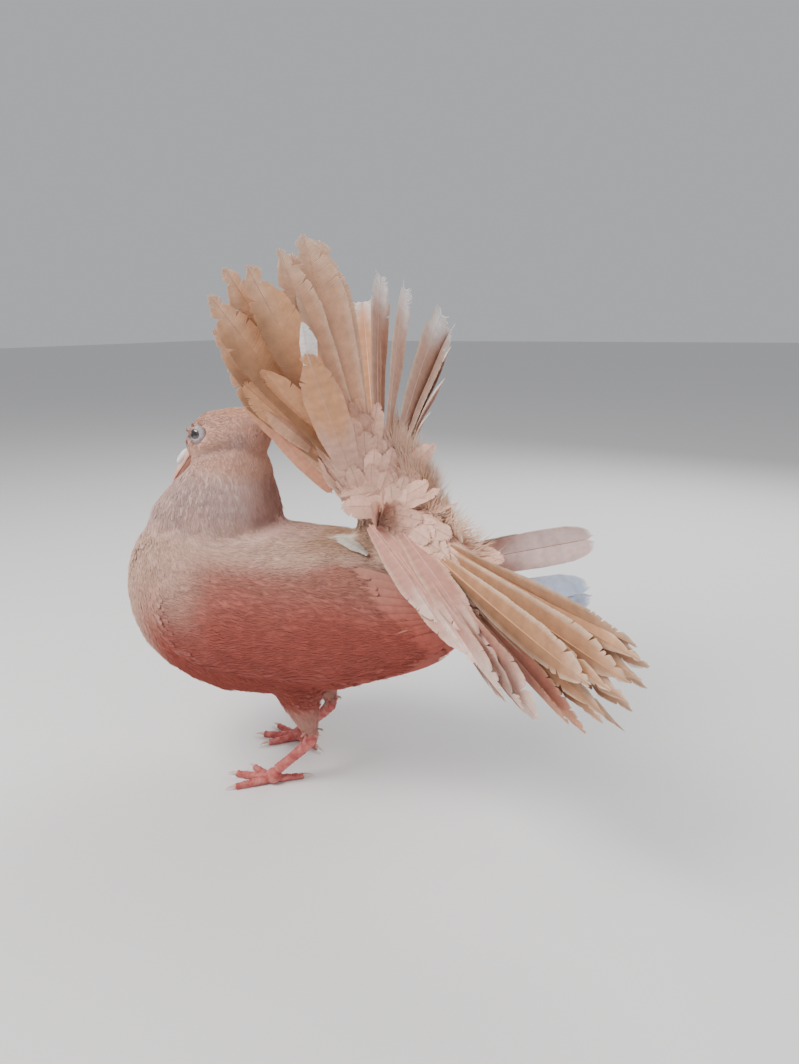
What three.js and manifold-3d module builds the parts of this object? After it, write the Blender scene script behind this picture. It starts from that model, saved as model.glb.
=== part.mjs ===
import * as THREE from 'three';
import { mergeVertices } from 'three/addons/utils/BufferGeometryUtils.js';
import Module from 'manifold-3d';

const wasm = await Module();
wasm.setup();

// Frame while modelling: X from the bill to the tail, Y to the bird's right, Z up, floor at 0.
// All lengths are in millimetres.

// Driving dimensions
const PART_GAP = 0.32;
const SOLE_POINT = new THREE.Vector3(-18, -23, 0);
const TAIL_ROOT = new THREE.Vector3(38, -6, 150);
const TAIL_VANE_WIDTH = 26;
const TAIL_VANE_THICK = 1.0;
const WING_TIP = new THREE.Vector3(140, 33, 122.5);
const FAR_WING_LIFT = 9;
const PRIMARY_COUNT = 6;
const PRIMARY_STEP = 1.15;
const EYE_RADIUS = 4.7;
const EYE_CENTRE = new THREE.Vector3(-55.6, 8.1, 183.6);
const TAIL_SEED = 29;

// Materials
const COLOURS = {
  breast: [0xc8a591, 0.75],
  belly: [0xb98f7e, 0.8],
  neck: [0xbf988a, 0.7],
  wing: [0xc49a86, 0.75],
  tail: [0xcf9f7c, 0.7],
  skin: [0xc9716a, 0.6],
  claw: [0xd8c0b0, 0.45],
  bill: [0xd9a08c, 0.45],
  cere: [0xe9e2dc, 0.8],
  eye: [0x2a2320, 0.12],
};

// Seeded numbers, so that like feathers vary but never change
function seeded(seed) {
  let state = seed;
  return () => {
    state = (state * 16807) % 2147483647;
    return state / 2147483647;
  };
}

function vec(x, y, z) {
  return new THREE.Vector3(x, y, z);
}

function lerp(a, b, t) {
  return a + (b - a) * t;
}

// Linear reading of a table whose first column is the parameter
function readTable(table, key) {
  if (key <= table[0][0]) return table[0].slice(1);
  for (let i = 1; i < table.length; i += 1) {
    if (key <= table[i][0]) {
      const t = (key - table[i - 1][0]) / (table[i][0] - table[i - 1][0]);
      return table[i].slice(1).map((value, k) => lerp(table[i - 1][k + 1], value, t));
    }
  }
  return table[table.length - 1].slice(1);
}

// Closed triangle solid from a geometry, turned outward if needed
function solidOf(geometry) {
  const bare = new THREE.BufferGeometry();
  bare.setAttribute('position', geometry.getAttribute('position').clone());
  if (geometry.index) bare.setIndex(geometry.index.clone());
  const merged = mergeVertices(bare, 1e-4);
  const points = new Float32Array(merged.getAttribute('position').array);
  const source = merged.index.array;
  const kept = [];
  for (let i = 0; i < source.length; i += 3) {
    const [a, b, c] = [source[i], source[i + 1], source[i + 2]];
    if (a !== b && b !== c && a !== c) kept.push(a, b, c);
  }
  let volume = 0;
  for (let i = 0; i < kept.length; i += 3) {
    const a = new THREE.Vector3().fromArray(points, kept[i] * 3);
    const b = new THREE.Vector3().fromArray(points, kept[i + 1] * 3);
    const c = new THREE.Vector3().fromArray(points, kept[i + 2] * 3);
    volume += a.dot(b.cross(c));
  }
  if (volume < 0) {
    for (let i = 0; i < kept.length; i += 3) [kept[i + 1], kept[i + 2]] = [kept[i + 2], kept[i + 1]];
  }
  return new wasm.Manifold(new wasm.Mesh({
    numProp: 3,
    vertProperties: points,
    triVerts: new Uint32Array(kept),
  }));
}

// The piece of a solid with the most volume
function largest(solid) {
  let best = null;
  for (const piece of solid.decompose()) {
    if (!best || piece.volume() > best.volume()) best = piece;
  }
  return best;
}

// A copy of a solid with its skin moved outward along its own normals
function grown(solid, distance) {
  const mesh = solid.getMesh();
  const points = mesh.vertProperties;
  const faces = mesh.triVerts;
  const normals = new Float32Array(points.length);
  const corner = [vec(0, 0, 0), vec(0, 0, 0), vec(0, 0, 0)];
  for (let i = 0; i < faces.length; i += 3) {
    for (let k = 0; k < 3; k += 1) corner[k].fromArray(points, faces[i + k] * 3);
    const ab = corner[1].clone().sub(corner[0]);
    const ac = corner[2].clone().sub(corner[0]);
    const face = ab.cross(ac).normalize();
    for (let k = 0; k < 3; k += 1) {
      const one = corner[(k + 1) % 3].clone().sub(corner[k]);
      const two = corner[(k + 2) % 3].clone().sub(corner[k]);
      const angle = one.angleTo(two);
      const at = faces[i + k] * 3;
      normals[at] += face.x * angle;
      normals[at + 1] += face.y * angle;
      normals[at + 2] += face.z * angle;
    }
  }
  const moved = new Float32Array(points.length);
  for (let i = 0; i < points.length; i += 3) {
    const length = Math.hypot(normals[i], normals[i + 1], normals[i + 2]) || 1;
    for (let k = 0; k < 3; k += 1) moved[i + k] = points[i + k] + (normals[i + k] / length) * distance;
  }
  return new wasm.Manifold(new wasm.Mesh({ numProp: 3, vertProperties: moved, triVerts: faces }));
}

// One ring of a body section: half width, half height above and half height below its centre
function ring(centre, side, up, halfWidth, above, below, count, power = 2) {
  const points = [];
  for (let i = 0; i < count; i += 1) {
    const angle = (i / count) * Math.PI * 2;
    const c = Math.cos(angle);
    const s = Math.sin(angle);
    const across = Math.sign(c) * Math.abs(c) ** (2 / power) * halfWidth;
    const height = Math.sign(s) * Math.abs(s) ** (2 / power) * (s > 0 ? above : below);
    points.push(centre.clone().addScaledVector(side, across).addScaledVector(up, height));
  }
  return points;
}

// Closed skin through rings of equal count, ended by a point at each end
function loft(rings, first, last) {
  const count = rings[0].length;
  const points = [first, ...rings.flat(), last];
  const faces = [];
  for (let i = 0; i < count; i += 1) {
    const next = (i + 1) % count;
    faces.push(0, 1 + next, 1 + i);
    for (let r = 0; r < rings.length - 1; r += 1) {
      const a = 1 + r * count + i;
      const b = 1 + r * count + next;
      const c = a + count;
      const d = b + count;
      faces.push(a, b, d, a, d, c);
    }
    const base = 1 + (rings.length - 1) * count;
    faces.push(points.length - 1, base + i, base + next);
  }
  const geometry = new THREE.BufferGeometry().setFromPoints(points);
  geometry.setIndex(faces);
  return solidOf(geometry);
}

// Round limb along a list of [x, y, z, radius fore and aft, radius sideways]
function limb(stations, count, first, last) {
  const centres = stations.map((s) => vec(s[0], s[1], s[2]));
  const rings = stations.map((s, i) => {
    const before = centres[Math.max(0, i - 1)];
    const after = centres[Math.min(centres.length - 1, i + 1)];
    const along = after.clone().sub(before).normalize();
    const side = vec(0, 1, 0).cross(along).normalize();
    const up = along.clone().cross(side).normalize();
    return ring(centres[i], side, up, s[3], s[4] ?? s[3], s[4] ?? s[3], count);
  });
  return loft(rings, first, last);
}

// Thin cambered vane: [left top, middle top, right top, right under, middle under, left under]
function vane(centres, normals, halfWidths, thick, camber = 0.08, skew = 0) {
  const count = centres.length;
  const rings = centres.map((centre, i) => {
    const before = centres[Math.max(0, i - 1)];
    const after = centres[Math.min(count - 1, i + 1)];
    const along = after.clone().sub(before).normalize();
    const across = along.clone().cross(normals[i]).normalize();
    const normal = across.clone().cross(along).normalize();
    const half = halfWidths[i];
    const edge = thick * 0.34;
    const middle = thick * 0.5;
    const rise = half * camber;
    const left = half * (1 - skew);
    const right = half * (1 + skew);
    const at = (x, z) => centre.clone().addScaledVector(across, x).addScaledVector(normal, z);
    return [
      at(-left, edge - rise), at(0, middle), at(right, edge - rise),
      at(right, -edge - rise), at(0, -middle), at(-left, -edge - rise),
    ];
  });
  const startDir = centres[0].clone().sub(centres[1]).normalize();
  const endDir = centres[count - 1].clone().sub(centres[count - 2]).normalize();
  const first = centres[0].clone().addScaledVector(startDir, halfWidths[0] * 0.5);
  const last = centres[count - 1].clone().addScaledVector(endDir, halfWidths[count - 1] * 0.55);
  return loft(rings, first, last);
}

// Long feather from root to tip: slim at the root, broad past the middle, rounded at the tip
const VANE_STATIONS = [0, 0.3, 0.6, 0.88, 1];
const VANE_WIDTHS = [0.2, 0.5, 0.86, 0.96, 0.5];
function feather(root, tip, face, width, options = {}) {
  const { twist = 0, bow = 0, thick = TAIL_VANE_THICK, skew = 0 } = options;
  const { stations = VANE_STATIONS, widths = VANE_WIDTHS } = options;
  const span = tip.clone().sub(root);
  const along = span.clone().normalize();
  const flat = face.clone().addScaledVector(along, -face.dot(along)).normalize();
  const normal = flat.applyAxisAngle(along, twist);
  const centres = stations.map((s) => {
    const drop = 4 * s * (1 - s) * bow;
    return root.clone().addScaledVector(span, s).addScaledVector(normal, drop);
  });
  const normals = centres.map(() => normal);
  return vane(centres, normals, widths.map((w) => (w * width) / 2), thick, 0.08, skew);
}

function together(solids) {
  return solids.reduce((sum, one) => sum.add(one));
}

// Torso: stations of x, top z, under z, half width
const TORSO = [
  [-101.6, 109, 97, 6],
  [-99.3, 120, 86, 16],
  [-95, 131, 75, 26],
  [-87.5, 140.5, 64.5, 35.5],
  [-76.5, 144, 56, 42],
  [-62, 144, 49.2, 46.2],
  [-44, 142.5, 44.3, 48.5],
  [-22, 140, 44.3, 47.5],
  [-2, 138.5, 45.8, 44.5],
  [16, 138, 49, 40.5],
  [33, 138, 54.5, 35],
  [48, 136.5, 61.5, 28.5],
  [62, 132, 71.5, 21],
  [73, 124, 84, 13],
  [79, 115, 94, 6.5],
];
const TORSO_POINTS = 24;
function torsoSection(x) {
  const [top, under, half] = readTable(TORSO, x);
  return { middle: (top + under) / 2, height: (top - under) / 2, half };
}
function makeTorso() {
  const rings = TORSO.map(([x]) => {
    const { middle, height, half } = torsoSection(x);
    return ring(vec(x, 0, middle), vec(0, 1, 0), vec(0, 0, 1), half, height, height, TORSO_POINTS, 2.1);
  });
  return loft(rings, vec(-102.3, 0, 103), vec(81.5, 0, 105));
}

// Neck: stations of z, front x, back x, half width
const NECK = [
  [116, -82, -18, 25],
  [128, -91, -16, 28.5],
  [138, -91.5, -15.5, 29.5],
  [147, -87.5, -16.5, 28],
  [156, -79.5, -18.5, 24.5],
  [164, -71.5, -20.5, 20.5],
  [172, -63, -23, 16.5],
  [179, -54, -27, 12.5],
];
const NECK_POINTS = 22;
function makeNeck() {
  const rings = NECK.map(([z, front, back, half]) => {
    const reach = (back - front) / 2;
    return ring(vec((front + back) / 2, 0, z), vec(0, 1, 0), vec(1, 0, 0), half, reach, reach, NECK_POINTS, 2.1);
  });
  return loft(rings, vec(-50, 0, 112), vec(-41, 0, 183));
}

// Head: stations from the back of the skull to the bill base: distance, above, below, half width
const HEAD_BACK = vec(-20.5, 0, 188.5);
const HEAD_ALONG = vec(-0.939, 0, -0.345);
const HEAD_UP = vec(-0.345, 0, 0.939);
const HEAD = [
  [1.5, 5.5, 5.5, 5],
  [5, 10, 10.5, 9],
  [11, 13.8, 15, 12],
  [19, 15.8, 17.5, 13.8],
  [27, 15, 17.5, 13.6],
  [34, 14.2, 15.5, 12.6],
  [40, 12.4, 12.6, 10.8],
  [45, 9.6, 9.6, 8.4],
  [48.2, 6, 6, 5.6],
];
function headPoint(distance, height, side = 0) {
  return HEAD_BACK.clone()
    .addScaledVector(HEAD_ALONG, distance)
    .addScaledVector(HEAD_UP, height)
    .add(vec(0, side, 0));
}
function makeHead() {
  const rings = HEAD.map(([d, above, below, half]) => (
    ring(headPoint(d, 0), vec(0, 1, 0), HEAD_UP, half, above, below, 20, 2.05)
  ));
  return loft(rings, headPoint(-0.6, 0), headPoint(50.2, -0.4));
}

// Bill, with the line of the mouth as a thin cut between its halves
const BILL_BASE = vec(-62.5, 0, 175);
const BILL_ALONG = vec(-0.64, 0, -0.768);
const BILL_UP = vec(-0.768, 0, 0.64);
const BILL = [
  [0, 3.8, 3.8, 4.4, 0],
  [5, 3.5, 3.5, 4.1, 0],
  [10, 2.9, 2.9, 3.4, 0],
  [15, 2.5, 2.3, 2.7, -0.2],
  [20, 2.1, 1.6, 2.0, -0.7],
  [24, 1.3, 0.9, 1.1, -1.6],
];
const BILL_POINTS = 14;
const MOUTH_HEIGHT = -0.9;
function billPoint(distance, height, side = 0) {
  return BILL_BASE.clone()
    .addScaledVector(BILL_ALONG, distance)
    .addScaledVector(BILL_UP, height)
    .add(vec(0, side, 0));
}
function makeBill() {
  const rings = BILL.map(([d, above, below, half, shift]) => (
    ring(billPoint(d, shift), vec(0, 1, 0), BILL_UP, half, above, below, BILL_POINTS)
  ));
  return loft(rings, billPoint(-1, 0), billPoint(25.4, -2.3));
}
function billBlock(from, to, low, high) {
  const block = new THREE.BoxGeometry(to - from, 16, high - low);
  const basis = new THREE.Matrix4().makeBasis(BILL_ALONG, vec(0, 1, 0), BILL_UP);
  if (basis.determinant() < 0) basis.makeBasis(BILL_ALONG, vec(0, -1, 0), BILL_UP);
  block.applyMatrix4(basis);
  const centre = billPoint((from + to) / 2, (low + high) / 2);
  block.translate(centre.x, centre.y, centre.z);
  return solidOf(block);
}

// Round body stretched along the three axes of a frame
function pebble(centre, radii, xAxis, zAxis, across, rows) {
  const geometry = new THREE.SphereGeometry(1, across, rows);
  geometry.scale(radii[0], radii[1], radii[2]);
  const yAxis = zAxis.clone().cross(xAxis);
  geometry.applyMatrix4(new THREE.Matrix4().makeBasis(xAxis, yAxis, zAxis));
  geometry.translate(centre.x, centre.y, centre.z);
  return solidOf(geometry);
}
function makeCere() {
  const lobes = [-1, 1].map((side) => (
    pebble(billPoint(7, 3.4, side * 1.9), [4.3, 2.5, 2.2], BILL_ALONG, BILL_UP, 10, 6)
  ));
  return together(lobes);
}
function makeNostril(side) {
  return pebble(billPoint(10.4, 3.0, side * 3.6), [1.5, 0.8, 0.45], BILL_ALONG, BILL_UP, 6, 4);
}

// Eye and its lids
function eyeCentre(side) {
  return vec(EYE_CENTRE.x, side * EYE_CENTRE.y, EYE_CENTRE.z);
}
function makeEye(side, extra = 0) {
  const eye = new THREE.SphereGeometry(EYE_RADIUS + extra, 14, 9);
  eye.rotateX(Math.PI / 2);
  const centre = eyeCentre(side);
  eye.translate(centre.x, centre.y, centre.z);
  return solidOf(eye);
}
const LID_RING = 4.9;
const LID_THICK = 1.15;
function makeLids(side) {
  const ringShape = new THREE.TorusGeometry(LID_RING, LID_THICK, 6, 14);
  ringShape.scale(1.12, 0.94, 1);
  ringShape.rotateX(Math.PI / 2);
  ringShape.rotateZ(side * -0.22);
  ringShape.rotateY(0.3);
  ringShape.translate(EYE_CENTRE.x, side * (EYE_CENTRE.y + 2.3), EYE_CENTRE.z);
  return solidOf(ringShape);
}

// Folded wing: guide stations of x, guide half width, under z, upper z, outward and inward thickness
const WING = [
  [-45, 49.0, 93, 103, 1.0, 2.0],
  [-40, 48.9, 84.5, 112, 3.2, 2.0],
  [-22, 47.8, 72, 123.5, 5.4, 2.0],
  [-6, 46.5, 64.5, 129.5, 5.8, 2.0],
  [12, 44.6, 61.5, 132, 5.6, 2.0],
  [34, 42.0, 66.5, 126, 5.0, 2.2],
  [58, 38.8, 77, 112, 4.4, 2.8],
  [74, 37.0, 89, 109, 3.4, 2.6],
  [84, 36.0, 97, 107, 2.0, 2.0],
];
const WING_MIDDLE = 92;
const WING_HEIGHT = 47;
const WING_OUTER = 7;
function wingSection(x) {
  const [half, under, top, out, inside] = readTable(WING, x);
  return {
    half,
    low: Math.asin((under - WING_MIDDLE) / WING_HEIGHT),
    high: Math.asin((top - WING_MIDDLE) / WING_HEIGHT),
    out,
    inside,
  };
}
// Point of the wing's skin; share runs from its under edge to its upper edge
function wingPoint(side, x, share, lift) {
  const { half, low, high, out } = wingSection(x);
  const angle = lerp(low, high, share);
  const offset = out * Math.sqrt(Math.max(0, 4 * share * (1 - share))) + lift;
  return vec(
    x,
    side * (half + offset) * Math.cos(angle),
    WING_MIDDLE + (WING_HEIGHT + offset) * Math.sin(angle),
  );
}
function wingNormal(side, x, share) {
  const { low, high } = wingSection(x);
  const angle = lerp(low, high, share);
  return vec(0.08, side * Math.cos(angle), Math.sin(angle)).normalize();
}
function makeWingBody(side) {
  const rings = WING.map(([x]) => {
    const { inside, out } = wingSection(x);
    const points = [];
    for (let i = 0; i <= WING_OUTER; i += 1) points.push(wingPoint(side, x, i / WING_OUTER, 0.4));
    for (const share of [0.86, 0.5, 0.14]) {
      const swell = out * Math.sqrt(4 * share * (1 - share));
      points.push(wingPoint(side, x, share, -swell - inside));
    }
    return points;
  });
  const first = wingPoint(side, -46.5, 0.5, -1.5);
  const last = wingPoint(side, 90, 0.5, -1.0);
  return loft(rings, first, last);
}
// Covert that follows the wing's skin: rooted under it, its tip lifted clear of it
function wingCovert(side, x0, x1, share0, share1, width, lift) {
  const stations = [0, 0.45, 0.85];
  const centres = stations.map((s) => (
    wingPoint(side, lerp(x0, x1, s), lerp(share0, share1, s), lerp(-1.6, lift, Math.min(1, s * 1.6)))
  ));
  const normals = stations.map((s) => wingNormal(side, lerp(x0, x1, s), lerp(share0, share1, s)));
  return vane(centres, normals, [0.6, 1, 0.8].map((w) => (w * width) / 2), 1.1, 0.1);
}
// Flight feathers of the hand, stacked side by side and stepped toward the wing tip
function makePrimaries(side) {
  const solids = [];
  for (let i = 0; i < PRIMARY_COUNT; i += 1) {
    const inward = (i - (PRIMARY_COUNT - 1) / 2) * PRIMARY_STEP;
    const back = (PRIMARY_COUNT - 1 - i) * (5.5 + 0.9 * (PRIMARY_COUNT - 1 - i));
    const rootLift = side > 0 ? FAR_WING_LIFT * 0.35 : 0;
    const root = vec(50 - i * 1.5, side * (38.6 - inward), 97 + i * 0.4 + rootLift);
    const tip = vec(
      WING_TIP.x - 3 - back,
      side * (WING_TIP.y - inward),
      WING_TIP.z - 0.25 * back + (i % 2) * 1.1 - 1.5 + (side > 0 ? FAR_WING_LIFT : 0),
    );
    solids.push(feather(root, tip, vec(0, side, 0.12), 19, {
      thick: 0.8,
      bow: 1.5,
      skew: 0.12,
      stations: [0, 0.45, 0.86, 1],
      widths: [0.45, 0.86, 1, 0.6],
    }));
  }
  return solids;
}
// Flight feathers of the forearm, lying over the hand feathers
function makeSecondaries(side) {
  const rows = [
    [0.16, 0.12, 66, 15],
    [0.32, 0.34, 76, 16],
    [0.5, 0.58, 84, 17],
    [0.67, 0.8, 82, 16],
    [0.83, 0.97, 72, 15],
  ];
  return rows.map(([share0, share1, reach, width], i) => {
    const stations = [0, 0.45, 0.85, 1];
    const centres = stations.map((s) => (
      wingPoint(side, lerp(12, reach, s), lerp(share0, share1, s), lerp(-1.8, 1.5 + (i % 2) * 1.4, s))
    ));
    const normals = stations.map((s) => wingNormal(side, lerp(12, reach, s), lerp(share0, share1, s)));
    const widths = [0.55, 0.95, 1, 0.5].map((w) => (w * width) / 2);
    return vane(centres, normals, widths, 0.95, 0.08);
  });
}
function makeWing(side) {
  const solids = [makeWingBody(side), ...makePrimaries(side), ...makeSecondaries(side)];
  for (let i = 0; i < 5; i += 1) {
    const share = 0.12 + i * 0.19;
    solids.push(wingCovert(side, -10 + i, 30 + (i % 2) * 3, share, share + 0.02, 15, 1.6));
  }
  for (let i = 0; i < 4; i += 1) {
    const share = 0.2 + i * 0.2;
    solids.push(wingCovert(side, -28 + i, 4 + (i % 2) * 3, share, share + 0.02, 15, 1.4));
  }
  return together(solids);
}

// Tail: middle mass, then three fans of feathers that grow from lobes set against it
const TAIL_BASE = [
  [108, 44, 19, 17],
  [120, 45, 23, 20],
  [134, 46, 24, 20],
  [148, 46, 22.5, 18.5],
  [161, 45, 19.5, 16],
  [172, 43.5, 15.5, 12.5],
  [180, 42.5, 10, 8],
];
function makeTailBase() {
  const rings = TAIL_BASE.map(([z, x, reach, half]) => (
    ring(vec(x, 0, z), vec(0, 1, 0), vec(1, 0, 0), half, reach, reach, 18)
  ));
  return loft(rings, vec(45, 0, 104), vec(42, 0, 184));
}

// Lobe of coverts along a direction: stations of reach, half spread, half depth
function lobe(start, along, spread, stations, end) {
  const side = spread.clone().addScaledVector(along, -spread.dot(along)).normalize();
  const up = along.clone().cross(side).normalize();
  const rings = stations.map(([reach, half, depth]) => (
    ring(start.clone().addScaledVector(along, reach), side, up, half, depth, depth, 16, 2.2)
  ));
  const first = start.clone().addScaledVector(along, stations[0][0] - 3);
  return loft(rings, first, start.clone().addScaledVector(along, end));
}

// Feathers of a fan whose tips run along a row; face is turned a little like a slatted blind
function fan(tips, start, rootReach, width, options) {
  const random = seeded(options.seed);
  return tips.map((place, i) => {
    const tip = vec(place[0], place[1], place[2]);
    const before = tips[Math.max(0, i - 1)];
    const after = tips[Math.min(tips.length - 1, i + 1)];
    const row = vec(after[0] - before[0], after[1] - before[1], after[2] - before[2]);
    const along = tip.clone().sub(start).normalize();
    const face = options.across ? along.clone().cross(options.across) : along.clone().cross(row);
    face.normalize();
    const lift = place[3] ?? 0;
    const root = start.clone().addScaledVector(along, rootReach).addScaledVector(face, lift);
    const end = tip.clone().addScaledVector(face, lift);
    return feather(root, end, face, width * (place[4] ?? 1) * (0.95 + 0.1 * random()), {
      twist: (options.twist ?? 0) + (place[5] ?? 0),
      bow: (options.bow ?? 0) + random() * 1.2,
      skew: (random() - 0.5) * 0.16,
      thick: TAIL_VANE_THICK,
    });
  });
}

// Tips of the upper fan: x, y, z, row depth, width share
const UPPER_TIPS = [
  [-22, -25, 205, 0, 0.62],
  [-26, -41, 227, 0, 0.7],
  [-25, -50, 242, 0, 0.78],
  [-22.5, -48, 250.5, 0, 0.8],
  [-17.5, -46, 257, 0, 0.85],
  [-11, -44, 258.5, 0, 0.8],
  [-5, -39, 253, 0, 0.75],
  [1, -34, 265.5, 0, 0.8],
  [5, -27, 264, 0, 0.8],
  [8.5, -18, 271.5, 0, 0.95],
  [12, -9, 271.5, 0, 0.95],
  [15, 0, 264, 0, 0.75],
];
const RIGHT_TIPS = [
  [17, 38, 250, 0, 0.6],
  [25.5, 41, 262, 0, 0.7, 1.05],
  [37.5, 52, 257, 0, 0.75, 0.8],
  [52, 73, 244, 0, 1, -0.15],
  [54, 88, 233, 0, 0.9],
  [50, 100, 220, 0, 1],
  [42, 111, 201, 0, 1],
  [33, 119, 178, 0, 1],
  [26, 122, 153, 0, 1],
  [22, 120, 128, 0, 1],
];
const LEFT_TIPS = [
  [157, -84, 121],
  [161, -81, 115],
  [163.5, -79, 108.5],
  [164, -76, 101],
  [156.5, -77, 97.5],
  [158, -73, 90],
  [149, -75, 87.5],
  [154, -68, 79.5],
  [143, -71, 80],
  [132, -74, 79],
  [122, -77, 82],
  [113, -80, 90],
];

const UPPER_ALONG = vec(-0.36, -0.2, 0.91).normalize();
const RIGHT_ALONG = vec(-0.03, 0.8, 0.6).normalize();
const LEFT_START = vec(40, -10, 150);
const LEFT_ALONG = vec(0.74, -0.5, -0.45).normalize();
const LEFT_SPREAD = vec(0.5, 0.1, 0.85);
const LEFT_ACROSS = vec(-0.1, -0.87, 0.48).normalize();

function makeUpperFan() {
  const mass = lobe(TAIL_ROOT, UPPER_ALONG, vec(0.93, 0.25, 0.25), [
    [0, 14, 11], [12, 18, 11.5], [26, 22, 10], [38, 23, 7.5], [47, 18, 4.5],
  ], 53);
  const long = fan(UPPER_TIPS, TAIL_ROOT, 22, TAIL_VANE_WIDTH, { twist: 0.2, seed: TAIL_SEED, bow: 1 });
  return together([mass, ...long]);
}
function makeRightFan() {
  const mass = lobe(TAIL_ROOT, RIGHT_ALONG, vec(-0.17, 0.31, -0.93), [
    [6, 13, 10], [18, 17, 9.5], [31, 20, 8], [42, 18, 6], [50, 13, 4],
  ], 55);
  const long = fan(RIGHT_TIPS, TAIL_ROOT, 26, TAIL_VANE_WIDTH, { twist: 0.2, seed: TAIL_SEED + 7, bow: 1 });
  return together([mass, ...long]);
}
function makeLeftFan() {
  const mass = lobe(LEFT_START, LEFT_ALONG, LEFT_SPREAD, [
    [4, 15, 10], [18, 17, 10.5], [34, 19, 9.5], [48, 19, 7.5], [60, 16, 5], [70, 11, 3],
  ], 76);
  const long = fan(LEFT_TIPS, LEFT_START, 34, TAIL_VANE_WIDTH * 0.85, {
    across: LEFT_ACROSS, twist: -0.45, seed: TAIL_SEED + 13, bow: 0.5,
  });
  return together([mass, ...long]);
}

// Legs. The left leg stands as seen; the right one stands a little farther forward.
const LEG_SHIFT_RIGHT = -3;
function legPoint(side, x, y, z) {
  return vec(x + (side > 0 ? LEG_SHIFT_RIGHT : 0), side * y, z);
}
function legStations(side, rows) {
  return rows.map(([x, y, z, a, b]) => {
    const p = legPoint(side, x, y, z);
    return [p.x, p.y, p.z, a, b ?? a];
  });
}
function makeThigh(side) {
  return limb(legStations(side, [
    [-5, 20, 62, 17, 13],
    [-2, 20, 52, 14, 12],
    [0.5, 20, 43, 9.6, 9],
    [2.8, 20, 34.5, 6.4, 6.2],
    [4, 20, 29.5, 4.6, 4.4],
  ]), 14, legPoint(side, -6.5, 20, 66), legPoint(side, 4.5, 20, 27.2));
}
const SHANK = [
  [4.6, 20, 31, 3.2],
  [3.6, 20, 26.5, 3.2],
  [-0.8, 20.6, 21.2, 2.4],
  [-8.2, 21.6, 14.2, 2.2],
  [-14.4, 22.4, 8.4, 2.5],
];
function makeShank(side) {
  return limb(legStations(side, SHANK), 10, legPoint(side, 4.8, 20, 32.6), legPoint(side, -15.5, 22.6, 7.2));
}
// Toes: end x, y; bend height; joint count follows the length
const TOES = [
  [-32, 13.5, 2.4],
  [-38.5, 22, 2.6],
  [-34, 33.5, 2.4],
  [-3.5, 15, 2.2],
];
const BALL = [-18, 23, 3.6];
function toeRadius(thick, share) {
  return thick * lerp(1, 0.68, share);
}
function makeToe(side, index) {
  const [endX, endY, thick] = TOES[index];
  const stations = [0, 0.35, 0.7, 1].map((s, k) => {
    const radius = toeRadius(thick, s) * (k % 2 ? 0.94 : 1.06);
    return [lerp(BALL[0], endX, s), lerp(BALL[1], endY, s), lerp(2.9, radius - 0.35, Math.min(1, s * 1.6)), radius];
  });
  const dx = endX - BALL[0];
  const dy = endY - BALL[1];
  const length = Math.hypot(dx, dy);
  const last = legPoint(side, endX + (dx / length) * 1.2, endY + (dy / length) * 1.2, 1.3);
  return limb(legStations(side, stations), 8, legPoint(side, BALL[0] - dx / length, BALL[1] - dy / length, 3), last);
}
function makeFoot(side) {
  const ball = pebble(legPoint(side, ...BALL), [4.6, 4.6, 3.9], vec(1, 0, 0), vec(0, 0, 1), 10, 6);
  const knuckle = pebble(legPoint(side, -16.4, 22.8, 6), [3.4, 3.4, 3.6], vec(1, 0, 0), vec(0, 0, 1), 8, 6);
  const toes = TOES.map((toe, i) => makeToe(side, i));
  const floor = new THREE.BoxGeometry(200, 200, 40);
  floor.translate(0, 0, -20);
  return together([ball, knuckle, ...toes]).subtract(solidOf(floor));
}
function makeClaw(side, index) {
  const [endX, endY] = TOES[index];
  const dx = endX - BALL[0];
  const dy = endY - BALL[1];
  const length = Math.hypot(dx, dy);
  const stations = [[-0.6, 1.6, 1.15], [1.6, 2.0, 1.05], [3.6, 1.75, 0.8], [5.2, 1.05, 0.45]].map(([reach, z, r]) => (
    [endX + (dx / length) * reach, endY + (dy / length) * reach, z, r]
  ));
  const tip = legPoint(side, endX + (dx / length) * 6.2, endY + (dy / length) * 6.2, 0.45);
  const root = legPoint(side, endX - (dx / length) * 1.2, endY - (dy / length) * 1.2, 1.5);
  return limb(legStations(side, stations), 7, root, tip);
}

// Node assembly: whole forms first, then thin cuts where they meet
const group = new THREE.Group();
group.name = 'fantail_pigeon';

function addNode(name, solid, [colour, roughness]) {
  const mesh = solid.getMesh();
  const geometry = new THREE.BufferGeometry();
  geometry.setAttribute('position', new THREE.BufferAttribute(new Float32Array(mesh.vertProperties), 3));
  geometry.setIndex(new THREE.BufferAttribute(new Uint32Array(mesh.triVerts), 1));
  geometry.translate(-SOLE_POINT.x, -SOLE_POINT.y, -SOLE_POINT.z);
  geometry.computeVertexNormals();
  const material = new THREE.MeshStandardMaterial({ color: colour, roughness, metalness: 0 });
  const node = new THREE.Mesh(geometry, material);
  node.name = name;
  group.add(node);
}

function cut(solid, ...others) {
  return largest(others.reduce((rest, other) => rest.subtract(other), solid));
}

const torso = makeTorso();
const torsoGrown = grown(torso, PART_GAP);

const bill = makeBill();
const billUpper = bill.intersect(billBlock(-6, 30, MOUTH_HEIGHT + PART_GAP / 2, 9));
const billLower = bill.intersect(billBlock(-6, 21.5, -9, MOUTH_HEIGHT - PART_GAP / 2));
const billGrown = grown(bill, PART_GAP);

let headWhole = makeHead();
for (const side of [-1, 1]) headWhole = headWhole.add(makeLids(side));
const head = cut(headWhole, makeEye(-1, PART_GAP), makeEye(1, PART_GAP), billGrown);
const headGrown = grown(headWhole, PART_GAP);

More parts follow.
